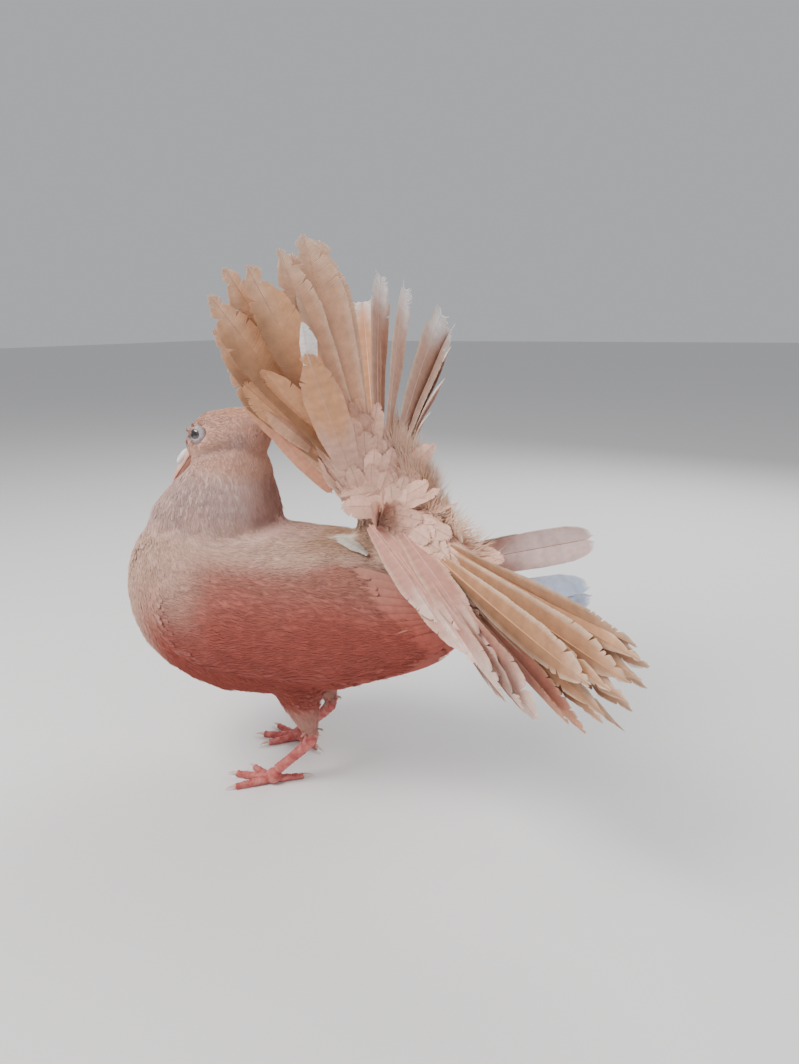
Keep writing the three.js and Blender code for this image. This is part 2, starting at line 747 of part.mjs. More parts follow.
const cere = cut(makeCere(), billGrown, headGrown, makeNostril(-1), makeNostril(1));
const cereGrown = grown(makeCere(), PART_GAP);
const neck = cut(makeNeck(), headGrown, torsoGrown, billGrown, cereGrown);

addNode('torso', torso, COLOURS.breast);
addNode('neck', neck, COLOURS.neck);
addNode('head', head, COLOURS.neck);
addNode('bill_upper', largest(billUpper), COLOURS.bill);
addNode('bill_lower', largest(billLower), COLOURS.bill);
addNode('cere', cere, COLOURS.cere);
addNode('eye_left', makeEye(-1), COLOURS.eye);
addNode('eye_right', makeEye(1), COLOURS.eye);

const tailBase = cut(makeTailBase(), torsoGrown);
const tailBaseGrown = grown(makeTailBase(), PART_GAP);
const upperFan = cut(makeUpperFan(), tailBaseGrown, torsoGrown);
const upperGrown = grown(upperFan, PART_GAP);
const rightFan = cut(makeRightFan(), tailBaseGrown, torsoGrown, upperGrown);
const rightGrown = grown(rightFan, PART_GAP);
const leftFan = cut(makeLeftFan(), tailBaseGrown, torsoGrown, upperGrown, rightGrown);
const leftGrown = grown(leftFan, PART_GAP * 2);

addNode('tail_base', tailBase, COLOURS.tail);
addNode('tail_fan_upper', upperFan, COLOURS.tail);
addNode('tail_fan_right', rightFan, COLOURS.tail);
addNode('tail_fan_left', leftFan, COLOURS.tail);

for (const [side, word] of [[-1, 'left'], [1, 'right']]) {
  const wing = cut(makeWing(side), torsoGrown, tailBaseGrown, leftGrown, rightGrown);
  addNode(`wing_${word}`, wing, COLOURS.wing);

  const thigh = makeThigh(side);
  const shank = makeShank(side);
  const foot = makeFoot(side);
  const claws = TOES.map((toe, i) => makeClaw(side, i));
  const shankGrown = grown(shank, PART_GAP);
  addNode(`thigh_${word}`, cut(thigh, torsoGrown, shankGrown), COLOURS.belly);
  addNode(`shank_${word}`, shank, COLOURS.skin);
  const clawsGrown = claws.map((claw) => grown(claw, PART_GAP));
  addNode(`foot_${word}`, cut(foot, shankGrown, ...clawsGrown), COLOURS.skin);
  claws.forEach((claw, i) => addNode(`claw_${word}_${i + 1}`, claw, COLOURS.claw));
}

export default group;
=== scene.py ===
import math

import bpy
import numpy as np
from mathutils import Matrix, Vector
from mathutils.bvhtree import BVHTree
from mathutils.kdtree import KDTree


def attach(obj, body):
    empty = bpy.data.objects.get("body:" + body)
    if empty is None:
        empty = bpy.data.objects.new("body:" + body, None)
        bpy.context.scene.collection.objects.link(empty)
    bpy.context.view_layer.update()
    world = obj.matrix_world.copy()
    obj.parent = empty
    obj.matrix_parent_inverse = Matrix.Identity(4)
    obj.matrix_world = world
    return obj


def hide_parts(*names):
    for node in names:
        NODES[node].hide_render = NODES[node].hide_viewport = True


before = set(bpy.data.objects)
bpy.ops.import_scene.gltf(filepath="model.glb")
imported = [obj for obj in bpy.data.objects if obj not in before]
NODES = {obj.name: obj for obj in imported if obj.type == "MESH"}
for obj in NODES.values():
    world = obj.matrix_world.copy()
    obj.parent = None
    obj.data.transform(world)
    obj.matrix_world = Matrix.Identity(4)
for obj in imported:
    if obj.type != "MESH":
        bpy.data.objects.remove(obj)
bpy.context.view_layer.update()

# Modelling frame in millimetres: X from bill to tail, Y to the bird's right, Z up, floor at 0.
SOLE = np.array([-18.0, -23.0, 0.0])
MM = 0.001
rng = np.random.default_rng(4118)


def metres(points):
    return (np.asarray(points, float) - SOLE) * MM


def millimetres(points):
    return np.asarray(points, float) / MM + SOLE


def unit(v):
    v = np.asarray(v, float)
    return v / np.maximum(np.linalg.norm(v, axis=-1, keepdims=True), 1e-9)


def smooth_step(low, high, value):
    t = np.clip((value - low) / (high - low), 0, 1)
    return t * t * (3 - 2 * t)


def read_table(table, key):
    table = np.asarray(table, float)
    return [np.interp(key, table[:, 0], table[:, k]) for k in range(1, table.shape[1])]


# Camera, at the photograph's height, tilt and field of view
CAMERA_PLACE = (140.3, -376.3, 237.0)
CAMERA_PITCH = math.radians(14.5)
CAMERA_YAW = math.radians(14.0)
FOCAL_SHARE = 800.0 / 1064.0
SENSOR_WIDTH = 36.0
cam_data = bpy.data.cameras.new("camera")
cam_data.sensor_width = SENSOR_WIDTH
cam_data.lens = FOCAL_SHARE * SENSOR_WIDTH
cam_data.clip_start = 0.01
camera = bpy.data.objects.new("camera", cam_data)
camera.location = metres(CAMERA_PLACE)
camera.rotation_euler = (math.pi / 2 - CAMERA_PITCH, 0.0, CAMERA_YAW)
bpy.context.collection.objects.link(camera)
bpy.context.scene.camera = camera


# Mesh helpers
def mesh_object(name, points, faces, smooth=False):
    mesh = bpy.data.meshes.new(name)
    faces = np.asarray(faces)
    count, corners = faces.shape
    mesh.vertices.add(len(points))
    mesh.vertices.foreach_set("co", metres(points).astype(np.float32).ravel())
    mesh.loops.add(count * corners)
    mesh.loops.foreach_set("vertex_index", faces.astype(np.int32).ravel())
    mesh.polygons.add(count)
    mesh.polygons.foreach_set("loop_start", np.arange(0, count * corners, corners, dtype=np.int32))
    mesh.polygons.foreach_set("loop_total", np.full(count, corners, np.int32))
    mesh.update(calc_edges=True)
    mesh.validate()
    mesh.polygons.foreach_set("use_smooth", np.full(len(mesh.polygons), smooth))
    obj = bpy.data.objects.new(name, mesh)
    bpy.context.collection.objects.link(obj)
    return obj


def paint(obj, colours, name="plumage"):
    attribute = obj.data.color_attributes.new(name, "FLOAT_COLOR", "POINT")
    full = np.ones((len(obj.data.vertices), 4), np.float32)
    full[:, :3] = np.clip(colours, 0, 1)
    attribute.data.foreach_set("color", full.ravel())


def read(items, key, width=1, kind=np.float32):
    """The numbers that a mesh keeps under one key, a row for each item."""
    values = np.empty(len(items) * width, kind)
    items.foreach_get(key, values)
    return values.reshape(-1, width) if width > 1 else values


def set_uv(obj, name, per_vertex):
    layer = obj.data.uv_layers.new(name=name)
    index = read(obj.data.loops, "vertex_index", kind=np.int32)
    layer.data.foreach_set("uv", per_vertex[index].astype(np.float32).ravel())


def ring(centre, side, up, half, above, below, count, power=2.0):
    angle = np.arange(count) / count * 2 * math.pi
    c, s = np.cos(angle), np.sin(angle)
    across = np.sign(c) * np.abs(c) ** (2 / power) * half
    height = np.sign(s) * np.abs(s) ** (2 / power) * np.where(s > 0, above, below)
    return np.asarray(centre) + across[:, None] * np.asarray(side) + height[:, None] * np.asarray(up)


def loft(rings, first, last):
    count = len(rings[0])
    points = np.vstack([[first], *rings, [last]])
    faces = []
    end = len(points) - 1
    base = 1 + (len(rings) - 1) * count
    for i in range(count):
        j = (i + 1) % count
        faces.append((0, 1 + j, 1 + i))
        faces.append((end, base + i, base + j))
    for r in range(len(rings) - 1):
        a = 1 + r * count
        for i in range(count):
            j = (i + 1) % count
            faces.append((a + i, a + j, a + count + j))
            faces.append((a + i, a + count + j, a + count + i))
    faces = np.array(faces)
    tri = points[faces]
    volume = np.einsum("ij,ij->i", tri[:, 0], np.cross(tri[:, 1], tri[:, 2])).sum()
    if volume < 0:
        faces = faces[:, ::-1]
    return points, faces


def joined(parts):
    points, faces, base = [], [], 0
    for p, f in parts:
        points.append(p)
        faces.append(np.asarray(f) + base)
        base += len(p)
    return np.vstack(points), np.vstack(faces)


def node_mesh(name, swell=0.35):
    """The surface of a solid, a little swollen so that its neighbours join it."""
    mesh = NODES[name].data
    points = millimetres(read(mesh.vertices, "co", 3))
    mesh.calc_loop_triangles()
    faces = read(mesh.loop_triangles, "vertices", 3, np.int32)
    keys, back = np.unique(np.round(points, 3), axis=0, return_inverse=True)
    faces = back.ravel()[faces]
    a, b, c = faces.T
    faces = faces[(a != b) & (b != c) & (a != c)]
    tri = keys[faces]
    normal = np.cross(tri[:, 1] - tri[:, 0], tri[:, 2] - tri[:, 0])
    total = np.zeros_like(keys)
    for k in range(3):
        np.add.at(total, faces[:, k], normal)
    return keys + unit(total) * swell, faces


# Tables of the body's form, as in the solids
BILL_BASE = np.array([-62.5, 0, 175.0])
BILL_ALONG = np.array([-0.64, 0, -0.768])
BILL_UP = np.array([-0.768, 0, 0.64])
TAIL_ROOT = np.array([38.0, -6.0, 150.0])
UPPER_ALONG = unit([-0.36, -0.2, 0.91])
RIGHT_ALONG = unit([-0.03, 0.8, 0.6])
LEFT_START = np.array([40.0, -10.0, 150.0])
LEFT_ALONG = unit([0.74, -0.5, -0.45])
LEFT_SPREAD = unit([0.5, 0.1, 0.85])
LEFT_ACROSS = unit([-0.1, -0.87, 0.48])
EYE_CENTRE = np.array([-55.6, 8.1, 183.6])
EYE_RADIUS = 4.7

# The folded wing: X, half width of the body, lower and upper edge, swell outward and inward
WING = [
    [-45, 49.0, 93, 103, 1.0, 2.0],
    [-40, 48.9, 84.5, 112, 3.2, 2.0],
    [-22, 47.8, 72, 123.5, 5.4, 2.0],
    [-6, 46.5, 64.5, 129.5, 5.8, 2.0],
    [12, 44.6, 61.5, 132, 5.6, 2.0],
    [34, 42.0, 66.5, 126, 5.0, 2.2],
    [58, 38.8, 77, 112, 4.4, 2.8],
    [74, 37.0, 89, 109, 3.4, 2.6],
    [84, 36.0, 97, 107, 2.0, 2.0],
]
FAR_WING_LIFT = 9.0
WING_ARC_HEIGHT = 92
WING_ARC_RADIUS = 47
WING_LEAN = 0.08


def wing_angle(under, top, share):
    low = np.arcsin((under - WING_ARC_HEIGHT) / WING_ARC_RADIUS)
    high = np.arcsin((top - WING_ARC_HEIGHT) / WING_ARC_RADIUS)
    return low + (high - low) * share


def wing_point(side, x, share, lift):
    half, under, top, out, _ = read_table(WING, x)
    angle = wing_angle(under, top, share)
    offset = out * np.sqrt(np.maximum(0, 4 * share * (1 - share))) + lift
    across = side * (half + offset) * np.cos(angle)
    height = WING_ARC_HEIGHT + (WING_ARC_RADIUS + offset) * np.sin(angle)
    return np.stack(np.broadcast_arrays(x, across, height), -1)


def wing_normal(side, x, share):
    _, under, top, _, _ = read_table(WING, x)
    angle = wing_angle(under, top, share)
    return unit(np.stack(np.broadcast_arrays(WING_LEAN, side * np.cos(angle), np.sin(angle)), -1))


def wing_core(side):
    """The folded wing's flesh, sunk into the side of the body."""
    rings = []
    for x in np.linspace(-44, 80, 26):
        _, _, _, out, inside = read_table(WING, x)
        row = [wing_point(side, x, s, 0.0) for s in np.linspace(0, 1, 12)]
        for share in (0.9, 0.7, 0.5, 0.3, 0.1):
            swell = out * math.sqrt(4 * share * (1 - share))
            row.append(wing_point(side, x, share, -swell - inside - 1.0))
        rings.append(np.array(row))
    return loft(rings, wing_point(side, -46, 0.5, -1.5), wing_point(side, 84, 0.5, -1.0))


def lobe(start, along, spread, stations, end):
    """A flat swelling under the roots of a fan; a station is distance, half width, half depth."""
    side = unit(spread - along * np.dot(spread, along))
    up = np.cross(along, side)
    rings = [ring(start + along * r, side, up, h, d, d, 32, 2.2) for r, h, d in stations]
    return loft(rings, start + along * (stations[0][0] - 3), start + along * end)


UPPER_LOBE = [[0, 14, 11], [12, 18, 11.5], [26, 21, 9], [38, 19, 5.5], [47, 14, 3.6], [55, 9, 2.4]]
RIGHT_LOBE = [[6, 13, 10], [18, 17, 9], [31, 18, 6.5], [42, 14, 4], [50, 9, 2.6]]
LEFT_LOBE = [[4, 15, 10], [18, 17, 10.5], [34, 19, 9.5], [48, 19, 7.5], [60, 16, 5], [70, 11, 3]]

# Skin: the flesh nodes and the roots of the fans and wings as one surface under the coat
SKIN_VOXEL = 1.5
UPPER_SPREAD = np.array([0.93, 0.25, 0.25])
RIGHT_SPREAD = np.array([-0.17, 0.31, -0.93])
FLESH = ("torso", "neck", "head", "tail_base", "thigh_left", "thigh_right")
skin_parts = [node_mesh(name) for name in FLESH]
skin_parts.append(lobe(TAIL_ROOT, UPPER_ALONG, UPPER_SPREAD, UPPER_LOBE, end=60))
skin_parts.append(lobe(TAIL_ROOT, RIGHT_ALONG, RIGHT_SPREAD, RIGHT_LOBE, end=55))
skin_parts.append(lobe(LEFT_START, LEFT_ALONG, LEFT_SPREAD, LEFT_LOBE, end=76))
skin_parts += [wing_core(-1), wing_core(1)]
skin = mesh_object("skin", *joined(skin_parts))
remesh = skin.modifiers.new("one_surface", "REMESH")
remesh.mode = "VOXEL"
remesh.voxel_size = SKIN_VOXEL * MM
even = skin.modifiers.new("even_out", "SMOOTH")
even.factor = 0.5
even.iterations = 6


def applied(obj):
    graph = bpy.context.evaluated_depsgraph_get()
    mesh = bpy.data.meshes.new_from_object(obj.evaluated_get(graph))
    old = obj.data
    obj.modifiers.clear()
    obj.data = mesh
    bpy.data.meshes.remove(old)
    mesh.name = obj.name


applied(skin)


def vertices_of(obj):
    points = millimetres(read(obj.data.vertices, "co", 3))
    return points, read(obj.data.vertices, "normal", 3).astype(float)


def move_skin(places):
    skin.data.vertices.foreach_set("co", metres(places).astype(np.float32).ravel())
    skin.data.update()


def soften(p, share, rounds):
    """Evens the surface where share is above zero."""
    edges = read(skin.data.edges, "vertices", 2, np.int32)
    ends = np.concatenate([edges[:, 0], edges[:, 1]])
    others = np.concatenate([edges[:, 1], edges[:, 0]])
    degree = np.maximum(np.bincount(ends, minlength=len(p)), 1)
    for _ in range(rounds):
        mean = np.stack([np.bincount(ends, p[others, k], len(p)) for k in range(3)], 1) / degree[:, None]
        p = p + (mean - p) * share[:, None]
    return p


def along_and_off(p, start, along):
    """How far each point lies along a line, and how far from it."""
    offset = p - start
    reach = offset @ along
    return reach, np.linalg.norm(offset - reach[:, None] * along, axis=1)


def mirrored(p):
    """Both sides of the bird folded onto its right side."""
    return p * [1, 0, 1] + np.abs(p) * [0, 1, 0]


def over(base, top, amount):
    return base * (1 - amount)[:, None] + top * amount[:, None]


# Regions of the coat, each from 0 to 1
def regions(p):
    x, y, z = p[:, 0], p[:, 1], p[:, 2]
    tail = smooth_step(24, 34, x) * smooth_step(136, 142, z)
    tail = np.maximum(tail, smooth_step(141, 148, z) * smooth_step(-10, 2, x))
    reach, off = along_and_off(p, LEFT_START, LEFT_ALONG)
    left = smooth_step(4, 14, reach) * (1 - smooth_step(17, 21, off)) * smooth_step(46, 60, x)
    tail = np.maximum(tail, left)
    wing = smooth_step(40, 43.5, np.abs(y)) * (1 - tail)
    wing = np.maximum(wing, smooth_step(44, 60, x) * smooth_step(25, 30, np.abs(y)) * (1 - tail))
    head = smooth_step(163, 171, z + 0.15 * (x + 45)) * smooth_step(5, -14, x)
    neck = smooth_step(131, 146, z) * smooth_step(8, -6, x) * (1 - head)
    thigh = smooth_step(48, 43, z) * smooth_step(-24, -18, x)
    return {"tail": tail, "wing": wing, "head": head, "neck": neck, "thigh": thigh}


def lobe_pull(p, start, along):
    reach, off = along_and_off(p, start, along)
    return (np.exp(-(off / 15) ** 2) * smooth_step(-6, 12, reach))[:, None] * along


def raw_flow(p):
    r = regions(p)
    x = p[:, 0]
    body = np.stack([np.ones_like(x), np.zeros_like(x), -1.25 + 1.15 * smooth_step(-85, -5, x)], 1)
    neck = np.tile([0.12, 0.0, -1.0], (len(p), 1))
    head = unit(p - np.array([-70.0, 0, 176.0])) + np.array([0.15, 0, -0.25])
    head -= np.outer(smooth_step(-46, -26, x), [0.6, 0, 1.3])
    thigh = np.tile([0.25, 0.0, -1.0], (len(p), 1))
    rise = np.clip((100 - p[:, 2]) / 60, -0.4, 0.4)
    wing = np.tile([1.0, 0.0, 0.0], (len(p), 1)) + np.outer(rise, [0, 0, 1])
    tail = np.tile([-0.1, 0.0, 0.35], (len(p), 1)) + lobe_pull(p, TAIL_ROOT, UPPER_ALONG)
    tail += lobe_pull(p, TAIL_ROOT, RIGHT_ALONG) + 1.3 * lobe_pull(p, LEFT_START, LEFT_ALONG)
    out = over(body, neck, r["neck"])
    for name, field in (("head", head), ("thigh", thigh), ("wing", wing), ("tail", tail)):
        out = over(out, field, r[name])
    return unit(out)


def flow(p, n):
    """Direction in which the coat lies at each point."""
    out = raw_flow(p)
    out -= n * np.einsum("ij,ij->i", out, n)[:, None]
    return unit(out)


# Markings in linear colour, with painted red bounce light and shade low on the belly and wing and painted
# shade in the cheek crease
BREAST = np.array([0.58, 0.375, 0.295])
# Belly tone: partly the bird's own reddish fawn, partly painted red bounce light and shade from below
BELLY_AND_RED_BOUNCE = np.array([0.36, 0.083, 0.062])
NECK = np.array([0.52, 0.35, 0.325])
NAPE = np.array([0.34, 0.16, 0.12])
FACE = np.array([0.54, 0.30, 0.225])
CROWN = np.array([0.60, 0.31, 0.19])
TEMPLE = np.array([0.40, 0.27, 0.26])
SHOULDER = np.array([0.40, 0.165, 0.125])
BACK = np.array([0.42, 0.25, 0.17])
RUMP = np.array([0.80, 0.72, 0.62])
RUMP_PATCH = np.array([19.0, 9.0, 134.5])
COVERT = np.array([0.74, 0.45, 0.345])
DOWN = np.array([0.78, 0.54, 0.40])
THIGH = np.array([0.52, 0.25, 0.20])


def wave(p, scale, turn):
    q = p / scale
    s = np.sin(q[:, 0] * 1.7 + turn) + np.sin(q[:, 1] * 1.3 + 2 * turn + q[:, 2] * 0.7)
    return (s + np.sin(q[:, 2] * 1.9 + 0.6 * q[:, 0] + 3 * turn)) / 3


def rear_share(p):
    """Share of the downy rear of the tail base, against its smooth front."""
    return smooth_step(0, 12, 0.75 * (p[:, 0] - 46) + 1.1 * (p[:, 1] + 12))


CHEEK = np.array([-48.0, 12.5, 180.0])
CHEEK_RUN = unit([0.92, 0.0, 0.22])
CREASE = np.array([-48.5, 12.5, 174.3])


def mound(p, centre, long, short):
    """A swelling on both cheeks, drawn out along their run."""
    along, off = along_and_off(mirrored(p), centre, CHEEK_RUN)
    return np.exp(-(along / long) ** 2 - (off / short) ** 2)


def wing_tone_with_red_bounce(p):
    # Lower on the wing the tone turns to the belly red: painted red bounce light and shade from below, over
    # the wing's own reddish brown
    shade = smooth_step(130, 90, p[:, 2] + 5 * wave(p, 12, 2.0))
    return over(SHOULDER, BELLY_AND_RED_BOUNCE * 1.05, shade) * (1 + 0.05 * wave(p, 4, 5.0))[:, None]


def markings_and_painted_light(p):
    r = regions(p)
    x, y, z = p.T
    colour = np.tile(BREAST, (len(p), 1))
    # Darker and redder towards the bottom: partly the own belly tone, partly painted red bounce light and
    # shade from below
    colour = over(colour, BELLY_AND_RED_BOUNCE, smooth_step(124, 80, z + 6 * wave(p, 14, 1.0)) * smooth_step(-98, -66, x))
    colour = over(colour, BACK, smooth_step(126, 136, z) * smooth_step(-12, 10, x))
    colour = over(colour, NECK, np.clip(r["neck"] * (0.75 + 0.35 * wave(p, 6, 0.4)), 0, 1))
    nape = smooth_step(-30, -19, x) * smooth_step(132, 146, z) * smooth_step(5, -8, x)
    colour = over(colour, NAPE, nape * 0.75)
    colour = over(colour, FACE, r["head"])
    colour = over(colour, CROWN, r["head"] * smooth_step(192, 200, z))
    # Darker along the crease under the cheek: painted shade in the crease
    fold = r["head"] * mound(p, CREASE, 12.0, 2.2) * (np.abs(y) > 4)
    colour = over(colour, NECK * 0.72, np.clip(fold, 0, 1) * 0.8)
    temple = r["head"] * mound(p, CHEEK + [14, 0, 1.5], 7.0, 4.0)
    colour = over(colour, TEMPLE, np.clip(temple, 0, 1) * 0.6)
    rearward = smooth_step(0, 30, x)
    beside = smooth_step(30 - 8 * rearward, 42 - 12 * rearward, np.abs(y))
    on_wing = beside * smooth_step(142, 132, z) * smooth_step(-64, -36, x)
    on_wing = np.maximum(on_wing, smooth_step(44, 60, x) * r["wing"])
    colour = over(colour, wing_tone_with_red_bounce(p), on_wing * (1 - r["tail"]))
    tail = over(np.tile(COVERT, (len(p), 1)), DOWN, rear_share(p))
    colour = over(colour, tail, r["tail"])
    colour = over(colour, THIGH, r["thigh"])
    gap = np.linalg.norm((mirrored(p) - RUMP_PATCH) / [10, 5, 5], axis=1)
    colour = over(colour, RUMP, smooth_step(1.1, 0.6, gap + 0.15 * wave(p, 3, 1.0)))
    return colour * (1 + 0.05 * wave(p, 4, 5.0))[:, None]


# The bend of the wing lies sunk in the soft breast feathers, so the step there is evened out
points, normals = vertices_of(skin)
evened = smooth_step(26, 34, np.abs(points[:, 1])) * smooth_step(30, 0, points[:, 0]) * (points[:, 2] < 150)
move_skin(soften(points, evened * smooth_step(50, 62, points[:, 2]), 90))

# Depth of the coat over the skin
points, normals = vertices_of(skin)
r = regions(points)
DEPTH = 2.6 - 1.4 * r["head"] - 0.4 * r["neck"] - 0.6 * r["thigh"] - 1.2 * r["wing"] + 0.8 * r["tail"]
BROW = np.array([-55.0, 11.0, 189.3])
FOREHEAD = np.array([-60.0, 0.0, 192.0])
FOREHEAD_RISE = 5.6


def near_forehead(reach):
    """One at the forehead, falling to nothing past the reach."""
    return r["head"] * np.exp(-np.linalg.norm((points - FOREHEAD) / reach, axis=1) ** 2)


relief = 2.4 * mound(points, CHEEK, 9.0, 4.0) + 1.2 * mound(points, BROW, 6.0, 2.4)
relief -= 1.6 * mound(points, CREASE, 11.0, 1.8)
relief *= r["head"] * (np.abs(points[:, 1]) > 4)
to_eye = np.linalg.norm(mirrored(points) - EYE_CENTRE, axis=1)
relief += FOREHEAD_RISE * near_forehead([11, 11, 9]) * (1 - 0.85 * np.exp(-(to_eye / 7.5) ** 2))
bill_reach, bill_off = along_and_off(points, BILL_BASE, BILL_ALONG)
relief -= 2.2 * np.exp(-(bill_off / 8) ** 2) * smooth_step(-1, 5, bill_reach)
settled = points - normals * (DEPTH - relief)[:, None]
move_skin(soften(settled, 0.6 * near_forehead([14, 14, 12]), 14))
skin.data.polygons.foreach_set("use_smooth", np.full(len(skin.data.polygons), True))
paint(skin, markings_and_painted_light(points) * 0.92)
bpy.context.view_layer.objects.active = skin
skin.select_set(True)
bpy.ops.object.mode_set(mode="EDIT")
bpy.ops.mesh.select_all(action="SELECT")
bpy.ops.uv.smart_project(angle_limit=math.radians(66), island_margin=0.004)
bpy.ops.object.mode_set(mode="OBJECT")
skin.select_set(False)
skin.data.uv_layers.active.name = "OFBake"


# Materials
def add_node(tree, kind, inputs=None, **settings):
    """A node; each input takes a plain value or another node's output."""
    node = tree.nodes.new(kind)
    for key, value in settings.items():
        setattr(node, key, value)
    for key, value in (inputs or {}).items():
        if isinstance(value, bpy.types.NodeSocket):
            tree.links.new(value, node.inputs[key])
        else:
            node.inputs[key].default_value = value
    return node


def maths(tree, operation, *values):
    return add_node(tree, "ShaderNodeMath", dict(enumerate(values)), operation=operation).outputs[0]


def new_material(name, roughness, sheen=0.0):
    material = bpy.data.materials.new(name)
    material.use_nodes = True
    shader = material.node_tree.nodes["Principled BSDF"]
    shader.inputs["Roughness"].default_value = roughness
    shader.inputs["Specular IOR Level"].default_value = 0.25
    if sheen:
        shader.inputs["Sheen Weight"].default_value = sheen
        shader.inputs["Sheen Roughness"].default_value = 0.45
        shader.inputs["Sheen Tint"].default_value = (1.0, 0.9, 0.84, 1.0)
    return material, material.node_tree, shader


def noise(tree, scale, detail):
    place = add_node(tree, "ShaderNodeTexCoord").outputs["Object"]
    inputs = {"Vector": place, "Scale": scale, "Detail": detail}
    return add_node(tree, "ShaderNodeTexNoise", inputs).outputs["Fac"]


def bumped(tree, shader, height, strength, distance):
    bump = add_node(tree, "ShaderNodeBump", {"Height": height, "Strength": strength, "Distance": distance})
    tree.links.new(bump.outputs["Normal"], shader.inputs["Normal"])


def attribute_colour(tree, name):
    return add_node(tree, "ShaderNodeAttribute", attribute_name=name).outputs["Color"]


BARB_SLANT = -0.28
GRAIN_SCALE = 420.0


def plumage_material(name, roughness, sheen, barb_count, barb_bump, streak=0.12):
    """Feather surface: colour from the plumage attribute, markings together with painted light and shade,
    fine barbs slanting from the shaft.
    """
    material, tree, shader = new_material(name, roughness, sheen)
    uv = add_node(tree, "ShaderNodeUVMap", uv_map="Vane").outputs["UV"]
    parts = add_node(tree, "ShaderNodeSeparateXYZ", {0: uv}).outputs
    slant = maths(tree, "MULTIPLY_ADD", maths(tree, "ABSOLUTE", parts["X"]), BARB_SLANT, parts["Y"])
    barbs = maths(tree, "SINE", maths(tree, "MULTIPLY", slant, barb_count * 2 * math.pi))
    lighten = add_node(tree, "ShaderNodeMapRange", {
        "Value": noise(tree, GRAIN_SCALE, 3.0), "From Min": 0.3, "From Max": 0.7,
        "To Min": 1.0 - streak, "To Max": 1.0 + streak})
    tinted = add_node(tree, "ShaderNodeVectorMath", {
        0: attribute_colour(tree, "plumage"), "Scale": lighten.outputs["Result"]}, operation="SCALE")
    tree.links.new(tinted.outputs["Vector"], shader.inputs["Base Color"])
    bumped(tree, shader, barbs, barb_bump, distance=0.0003)
    return material


def skin_material():
    material, tree, shader = new_material("under_plumage", 0.85, sheen=0.2)
    bumped(tree, shader, noise(tree, scale=700.0, detail=4.0), strength=0.5, distance=0.0006)
    tree.links.new(attribute_colour(tree, "plumage"), shader.inputs["Base Color"])
    return material


SMALL_FEATHER = plumage_material("small_feathers", 0.78, sheen=0.25, barb_count=14, barb_bump=0.25)
FINE_FEATHER = plumage_material("face_feathers", 0.8, sheen=0.25, barb_count=6, barb_bump=0.15)
FLIGHT_FEATHER = plumage_material("flight_feathers", 0.62, sheen=0.15, barb_count=70, barb_bump=0.08,
                                  streak=0.08)
DOWNY = plumage_material("downy_feathers", 0.9, sheen=0.35, barb_count=6, barb_bump=0.05, streak=0.06)
skin.data.materials.append(skin_material())


LEAF_THICK = 0.02


# Small feather: one closed leaf with a fringed tip, root at the origin, tip along Y, face along Z
def leaf_form(width, fringe, camber, droop, seed):
    pick = np.random.default_rng(seed)
    stations = [(0.0, 0.1), (0.3, 0.62), (0.62, 1.0), (0.84, 0.86)]
    left, middle, right = [], [], []
    for t, w in stations:
        half = width / 2 * w
        z = -droop * t * t
        left.append((-half, t, z - camber * half))
        middle.append((0.0, t, z))
        right.append((half, t, z - camber * half))
    tips = []
    for k in range(fringe):
        u = -1 + 2 * (k + 0.5) / fringe
        reach = 0.86 + 0.16 * math.sqrt(max(0.0, 1 - (u * 0.85) ** 2)) + pick.uniform(-0.02, 0.03)
        tips.append((u * width / 2 * 0.72, reach, -droop * reach ** 2 - camber * abs(u) * width / 2))
    outline = left + tips + right[::-1]
    top = np.array(outline + middle)
    n = len(outline)
    faces = []
    last = len(middle) - 1
    for k in range(len(left) - 1):
        faces += [(k, n + k, n + k + 1), (k, n + k + 1, k + 1)]
        a, b = n - 1 - k, n - 2 - k
        faces += [(a, b, n + k + 1), (a, n + k + 1, n + k)]
    first_tip = len(left) - 1
    for k in range(first_tip, first_tip + fringe + 1):
        faces.append((k, n + last, k + 1))
    faces.append((n - 1, n, 0))
    under = np.array(middle) - [0, 0, LEAF_THICK]
    points = np.vstack([top, under])
    shift = len(top) - n
    lower = [tuple(v if v < n else v + shift for v in f[::-1]) for f in faces]
    uv = np.stack([points[:, 0] / (width / 2), points[:, 1]], 1)
    return points, np.array(faces + lower), uv


# Soft tuft: thin pointed barbs spread from one root, each a closed three-sided sliver
def wisp_form(count, spread, curl, barb, seed):
    pick = np.random.default_rng(seed)
    points, faces, uvs = [], [], []
    for k in range(count):
        angle = spread * (-1 + 2 * (k + 0.5) / count) + pick.uniform(-0.08, 0.08)
        long = pick.uniform(0.7, 1.0)
        lift = pick.uniform(-0.03, 0.03)
        bend = pick.uniform(-0.12, 0.12)
        base = len(points)
        for t, wide in ((0.0, 0.6), (0.5, 1.0)):
            reach = t * long
            x = math.sin(angle + bend * t) * reach
            y = math.cos(angle) * reach
            z = curl * reach ** 2 + lift * t
            w = barb * wide
            points += [(x - w, y, z), (x + w, y, z), (x, y, z + w)]
            uvs += [(math.sin(angle), reach)] * 3
        points.append((math.sin(angle + bend) * long, math.cos(angle) * long, curl * long ** 2 + lift))
        uvs.append((math.sin(angle), long))
        a, b, tip = base, base + 3, base + 6
        faces.append((a, a + 1, a + 2))
        for j in range(3):
            m = (j + 1) % 3
            faces += [(a + j, b + j, b + m), (a + j, b + m, a + m), (b + j, tip, b + m)]
    return np.array(points), np.array(faces), np.array(uvs)


def form_object(name, form):
    points, faces, uv = form
    obj = mesh_object(name, points, faces)
    obj.data.vertices.foreach_set("co", np.asarray(points, np.float32).ravel())
    set_uv(obj, "Vane", uv)
    bpy.context.collection.objects.unlink(obj)
    return obj


MOST_PER_SPACE = 3.0


